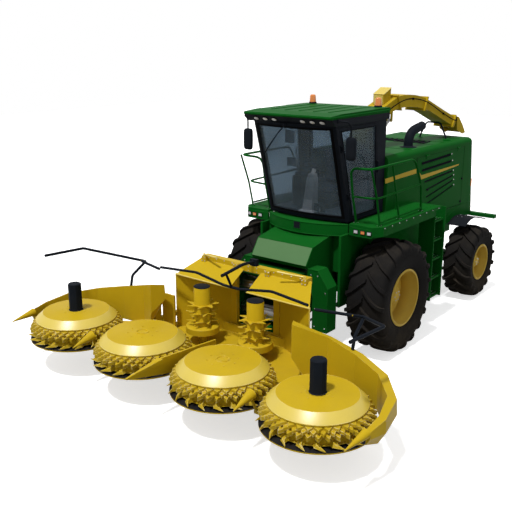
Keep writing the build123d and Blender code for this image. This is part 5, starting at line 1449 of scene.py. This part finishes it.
def makeHoodTop():
    # Top: seams across and a round filler cap.
    size = hoodSizes
    half, top = size["seamHalf"], size["top"]
    seams = [tube([(axleX + x, -half, top), (axleX + x, half, top)], 0.003, 6) for x in size["topSeams"]]
    piece("topSeams", "chassis", "rubberSeal", gather(seams), 50)
    x, y = size["cap"]
    cap = turned([(0.0, top - 0.002), (0.075, top - 0.002), (0.075, top + 0.012), (0.06, top + 0.022),
                  (0.0, top + 0.024)], (axleX + x, y, 0), "z", 28)
    piece("fillerCap", "chassis", "greenPaint", cap, 30)
    # Exhaust: a bent pipe with a collar at its foot, and a near-black disc on its end: painted shade for the
    # pipe's open inside.
    size = exhaustSizes
    line = smoothLine(filleted(fromAxle(size["line"]), 0.13, 6), 2)
    mouth, run = fromAxle(size["mouth"]), unit(np.array(size["run"]))
    hollow = tube([mouth + run * 0.001, mouth + run * 0.002], size["hollow"], 20)
    piece("exhaustMouthShade", "chassis", "rubberSeal", hollow, 30)
    foot = size["line"][0]
    collar = turned(size["collar"], (axleX + foot[0], foot[1], 0), "z", 32)
    pipe = gather([tube(line, size["radius"], 28), collar])
    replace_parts(piece("exhaustPipe", "chassis", "blackPaint", pipe, 40), "exhaust")
    print("rear body made")


makeHoodSides()
makeRearWall()
makeHoodTop()


# Spout trim, in the spout's own lengths: rearward from the slew axis, sideways and up.
spoutSizes = {
    "x": -1.08, "slew": math.radians(180 - 7.65),
    "flanges": ((0.68, 3.757, -22), (1.505, 3.68, 17), (2.48, 3.31, 21.5)),  # reach, height and lean
    "boltOut": 0.204, "boltSteps": (-0.075, 0.0, 0.075),
    "hose": [(0.02, -0.2, 3.42), (0.3, -0.205, 3.6), (0.7, -0.232, 3.77), (1.1, -0.205, 3.8),
             (1.5, -0.234, 3.72), (2.1, -0.205, 3.48), (2.48, -0.232, 3.33), (2.58, -0.19, 3.4)],
    "clips": ((0.3, 3.6), (1.1, 3.8), (2.1, 3.48)),
    "lid": [(0.345, 3.896), (0.345, 3.904), (0.556, 4.01), (0.556, 4.002)], "lidHalf": 0.116,
    "face": [(0.342, 3.735), (0.345, 3.735), (0.345, 3.885), (0.342, 3.885)], "faceHalf": 0.095,
    "teeth": 72, "toothFrom": 4, "toothTo": 69, "toothRing": 0.262, "toothZ": 3.0905,
    "hoop": [(-0.285, 3.000), (-0.285, 3.04), (-0.15, 3.304), (0.15, 3.304), (0.285, 3.04), (0.285, 3.000)],
    "hoopAt": 2.1, "hoopRadius": 0.0155, "hoopFoot": 0.285}
grilleSizes = {"x": (-2.6995, -2.3405), "bars": 9, "from": -0.44, "step": 0.11, "barHalf": 0.012,
               "barZ": (2.979, 3.0055), "plateHalf": 0.4995, "plateZ": (2.974, 2.98)}


def onSpout(shape):
    # From the spout's own lengths to the machine's.
    points = np.asarray(shape[0], float)
    c, s = math.cos(spoutSizes["slew"]), math.sin(spoutSizes["slew"])
    return np.stack([axleX + spoutSizes["x"] + points[..., 0] * c - points[..., 1] * s,
                     points[..., 0] * s + points[..., 1] * c, points[..., 2]], axis=-1), shape[1]


def makeSpoutTrim():
    # Bolts down both sides of each flange, and a hose along one side with three clips.
    size = spoutSizes
    bolts = []
    for reach, middle, lean in size["flanges"]:
        s, c = math.sin(math.radians(lean)), math.cos(math.radians(lean))
        up, out = np.array([s, 0, c]), np.array([c, 0, -s])
        for step in size["boltSteps"]:
            for sign in (1, -1):
                spot = np.array([reach, sign * size["boltOut"], middle]) + up * step
                bolts.append(spot + out * 0.012)
    heads = boltHeads(bolts, (1, 0, -0.2), 0.009, 0.008)
    piece("spoutBolts", "spout_arm", "brightSteel", onSpout(heads), 30)
    hose = [tube(smoothLine(size["hose"], 6), 0.009, 10)]
    hose += [block((x - 0.012, -0.214, z - 0.018), (x + 0.012, -0.186, z + 0.018)) for x, z in size["clips"]]
    piece("spoutHose", "spout_arm", "rubberSeal", onSpout(gather(hose)), 50)
    # The lid of the box at the duct's foot, and a plate on the box's face, in the lighter yellow that paints a
    # highlight on them.
    lid = sidePlate(size["lid"], -size["lidHalf"], size["lidHalf"])
    face = sidePlate(size["face"], -size["faceHalf"], size["faceHalf"])
    piece("spoutBoxLid", "spout_arm", "paintedHighlightYellow", onSpout(gather([lid, face])), bevel=0.001)
    # Lift cylinder hoses at the turret.
    lines = [tube(smoothLine([(0.32, y, 3.13), (0.22, y * 1.6, 3.17), (0.16, y * 2, 3.108)], 5), 0.008, 8)
             for y in (0.05, -0.05)]
    piece("turretHoses", "spout_turret", "rubberSeal", onSpout(gather(lines)), 50)
    # Turret ring: teeth for the slewing drive, with none below the lift cylinder.
    turn = np.arange(size["toothFrom"], size["toothTo"]) / size["teeth"] * full
    spots = np.stack([size["toothRing"] * np.cos(turn), size["toothRing"] * np.sin(turn),
                      np.full(len(turn), size["toothZ"])], axis=-1)
    piece("turretTeeth", "spout_turret", "brightSteel",
          onSpout(boltHeads(spots, (0, 0, 1), 0.007, 0.006, 4)), 30)
    # On the body's top: a bent hoop for the spout to rest on, and the grille's bars over a thin plate.
    at, foot = size["hoopAt"], size["hoopFoot"]
    hoop = [roundBar([(at, y, z) for y, z in size["hoop"]], size["hoopRadius"], 0.05)]
    hoop += [block((at - 0.03, y - 0.04, 3.0005), (at + 0.03, y + 0.04, 3.008)) for y in (-foot, foot)]
    size = grilleSizes
    half = size["barHalf"]
    middles = [size["from"] + size["step"] * index for index in range(size["bars"])]
    grille = [boxAt(size["x"], (y - half, y + half), size["barZ"]) for y in middles]
    grille.append(boxAt(size["x"], (-size["plateHalf"], size["plateHalf"]), size["plateZ"]))
    shape = gather([onSpout(gather(hoop)), gather(grille)])
    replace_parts(piece("hoodGrille", "chassis", "blackPaint", shape, 40), "hood_grille")
    print("spout trim made")


makeSpoutTrim()


# Header trim.
cropBars = {"radius": 0.0215,
            "wing": [(2.46, 1.45, 1.4), (2.36, 1.95, 1.409), (2.203, 2.028, 1.357), (2.906, 2.7, 1.61),
                     (3.63, 2.69, 1.65)],
            "foot": [(2.203, 2.028, 1.357), (2.47, 2.06, 1.18), (2.52, 2.06, 0.97)],
            "middle": [  # corners and radius
                ([(2.51, -1.365, 1.455), (2.42, -0.7, 1.48), (2.44, -0.15, 1.4), (2.44, 0.15, 1.4),
                  (2.42, 0.7, 1.48), (2.51, 1.365, 1.455)], 0.02),
                ([(1.917, 0.0, 1.66), (2.19, 0.0, 1.68), (2.65, 0.0, 1.62)], 0.023),
                ([(2.44, 0.0, 1.4), (2.56, 0.0, 1.63)], 0.018)]}


def makeCropBars():
    # Dark bent bars that push the crop forward, thicker than their solids' by a coat of paint.
    size = cropBars
    wing = gather([roundBar(fromAxle(size[label]), size["radius"], 0.03) for label in ("wing", "foot")])
    for side, sign in sides:
        piece("cropBar" + side.capitalize(), f"wing_{side}", "blackPaint", toSide(wing, sign), 50)
    middle = [roundBar(fromAxle(corners), radius, 0.05) for corners, radius in size["middle"]]
    middle.append(boxAt((1.897, 1.957), (-0.06, 0.06), (1.6003, 1.7)))
    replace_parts(piece("cropBarMiddle", "feeder", "blackPaint", gather(middle), 50), "crop_bar")
    print("crop bars made")


makeCropBars()

headerSizes = {"back": 1.857, "brackets": (0.3, 0.94), "bracketHalf": 0.045, "bracketX": (0.111, 0.15),
               "bracketZ": (1.505, 1.595), "boltHalf": 0.86, "boltCount": 12, "boltZ": (1.52, 1.58),
               "cornerBolt": 0.026, "edgeX": 2.3,
               "hose": [(1.845, 0.6, 1.45), (1.835, 0.66, 1.1), (1.845, 0.72, 0.78), (1.94, 0.74, 0.7)],
               "hoseShifts": (0.0, 0.03)}


def makeHeaderTrim():
    # Beam: square brackets, link rods and bolts.
    size = headerSizes
    back, half, off = axleX + size["back"], size["bracketHalf"], size["cornerBolt"]
    spots = [(sign, y) for sign in (1, -1) for y in size["brackets"]]
    (nearX, farX), (low, high) = size["bracketX"], size["bracketZ"]
    brackets = [block((back + nearX, sign * y - half, low), (back + farX, sign * y + half, high)) for sign,
                y in spots]
    piece("beamBrackets", "feeder", "yellowPaint", gather(brackets), bevel=0.004)
    outer = size["brackets"][1]
    # Link rods in the lighter yellow, a painted highlight on them.
    rods = [tube([(back + 0.13, sign * outer, 1.62), (axleX + 2.112, sign * 0.56, 1.657)], 0.014, 12)
            for sign in (1, -1)]
    rods += [tube([(back + 0.13, sign * outer, 1.59), (back + 0.13, sign * outer, 1.635)], 0.018, 12)
             for sign in (1, -1)]
    piece("linkRods", "feeder", "paintedHighlightYellow", gather(rods), 40)
    along = np.linspace(-size["boltHalf"], size["boltHalf"], size["boltCount"])
    bolts = [(back + 0.11, y, z) for y in along for z in size["boltZ"]]
    bolts += [(back + farX, sign * y + dy, 1.55 + dz) for sign,
              y in spots for dy in (-off, off) for dz in (-off, off)]
    piece("beamBolts", "feeder", "brightSteel", boltHeads(bolts, (1, 0, 0), 0.009, 0.007), 30)
    # Guide walls: folded edges along the top and down the front, in the lighter yellow that paints a highlight
    # on them.
    edge = axleX + size["edgeX"]
    edges = []
    for sign in (1, -1):
        edges += [tube([(back + 0.04, sign * 0.454, 1.3305), (edge, sign * 1.254, 1.3305)], 0.01, 8),
                  tube([(edge, sign * 0.16, 1.32), (edge, sign * 1.25, 1.32)], 0.012, 8),
                  tube([(edge, sign * 1.25, 1.325), (edge, sign * 1.25, 0.475)], 0.01, 8)]
    piece("guideEdges", "feeder", "paintedHighlightYellow", gather(edges), 50)
    # Hoses from the beam down to each fold cylinder.
    hoses = []
    for sign in (1, -1):
        for shift in size["hoseShifts"]:
            line = fromAxle([(x, sign * (y + shift), z) for x, y, z in size["hose"]])
            hoses.append(tube(smoothLine(line, 5), 0.009, 8))
    piece("headerHoses", "feeder", "rubberSeal", gather(hoses), 50)
    print("header trim made")


makeHeaderTrim()

skidSizes = {"hole": 0.14, "radius": 0.691, "low": 0.4705, "high": 0.474}


def makeSkids():
    # Near-black mottled sheets over each rotor's skid pan, seen between the knives: painted shade under the
    # rotors.
    size = skidSizes
    ring = [(size["hole"], size["low"]), (size["radius"], size["low"]), (size["radius"], size["high"]),
            (size["hole"], size["high"])]
    for side, sign in sides:
        for row, y, body in (("inner", rotorSizes["innerY"], "feeder"),
                             ("outer", rotorSizes["outerY"], f"wing_{side}")):
            shape = turned(ring, (rotorSizes["x"], sign * y, 0), "z", 64)
            piece(row + "Skid" + side.capitalize(), body, "skidSteel", shape, 30)
    print("skids made")


makeSkids()


# Stage, light and camera.
ambient = 0.42
suns = [  # name, direction the light comes from, strength, softness in degrees
    ("keySun", (0.45, 0.0, 1.0), 2.65, 5.0), ("sideSun", (0.3, 1.0, 0.35), 0.12, 25.0)]
cabGlow = {"place": (0.55, 0.2, 3.35), "strength": 16.0, "soft": 0.15}
floorLook = {"half": 40, "shaded": (0.16, 0.15, 0.13), "seen": (0.86, 0.86, 0.86), "glow": 0.62}
cameraView = {"place": (9.9607, 6.476, 4.7046), "look": (-0.74988, -0.60148, -0.27551), "lens": 51.62}


def seenDirectly(tree):
    # 1 for the camera and for what glossy and clear surfaces show, 0 for light that bounces.
    rays = tree.nodes.new("ShaderNodeLightPath")
    return math2(tree, "ADD",
                 math2(tree, "ADD", rays.outputs["Is Camera Ray"], rays.outputs["Is Glossy Ray"]),
                 rays.outputs["Is Transmission Ray"], clamp=True)


def linkItem(item):
    # Put an object into the scene.
    bpy.context.scene.collection.objects.link(item)


def makeStage():
    # A floor and a room which look white to the camera but throw less light on the machine.
    half = floorLook["half"]
    points, faces = planPlate([(-half, -half), (half, -half), (half, half), (-half, half)], -0.02, 0.0)
    mesh = bpy.data.meshes.new("floor")
    mesh.from_pydata(points.tolist(), [], faces)
    floor = bpy.data.objects.new("floor", mesh)
    linkItem(floor)
    material, tree, shader, point = newMaterial("paleFloor")
    seen = seenDirectly(tree)
    tree.links.new(blendColour(tree, seen, floorLook["shaded"], floorLook["seen"]),
                   shader.inputs["Base Color"])
    shader.inputs["Roughness"].default_value = 0.9
    shader.inputs["Emission Color"].default_value = (1, 1, 1, 1)
    tree.links.new(math2(tree, "MULTIPLY", seen, floorLook["glow"]), shader.inputs["Emission Strength"])
    mesh.materials.append(material)
    world = bpy.data.worlds.new("paleRoom")
    bpy.context.scene.world = world
    world.use_nodes = True
    tree = world.node_tree
    back = tree.nodes["Background"]
    back.inputs["Color"].default_value = (1, 1, 1, 1)
    strength = math2(tree, "MULTIPLY_ADD", seenDirectly(tree), 1.0 - ambient, ambient)
    tree.links.new(strength, back.inputs["Strength"])


def makeLights():
    # A strong sun from above, a weak soft one from the left, and a small lamp in the cab.
    for name, source, strength, soft in suns:
        lamp = bpy.data.lights.new(name, "SUN")
        lamp.energy = strength
        lamp.angle = math.radians(soft)
        item = bpy.data.objects.new(name, lamp)
        item.rotation_euler = Vector(source).to_track_quat("Z", "Y").to_euler()
        item.visible_transmission = False
        linkItem(item)
    lamp = bpy.data.lights.new("cabGlow", "POINT")
    lamp.energy = cabGlow["strength"]
    lamp.shadow_soft_size = cabGlow["soft"]
    item = bpy.data.objects.new("cabGlow", lamp)
    item.location = fromAxle(cabGlow["place"])
    item.visible_transmission = False
    item.visible_camera = False
    linkItem(item)


def makeCamera():
    # The camera as it was solved from the photograph.
    camera = bpy.data.cameras.new("photoCamera")
    camera.lens = cameraView["lens"]
    camera.sensor_width = 36.0
    camera.sensor_fit = "HORIZONTAL"
    item = bpy.data.objects.new("photoCamera", camera)
    item.location = fromAxle(cameraView["place"])
    item.rotation_euler = Vector(cameraView["look"]).to_track_quat("-Z", "Y").to_euler()
    linkItem(item)
    bpy.context.scene.camera = item


makeStage()
makeLights()
makeCamera()
bpy.context.scene.view_settings.view_transform = "Standard"
print("stage, light and camera made")
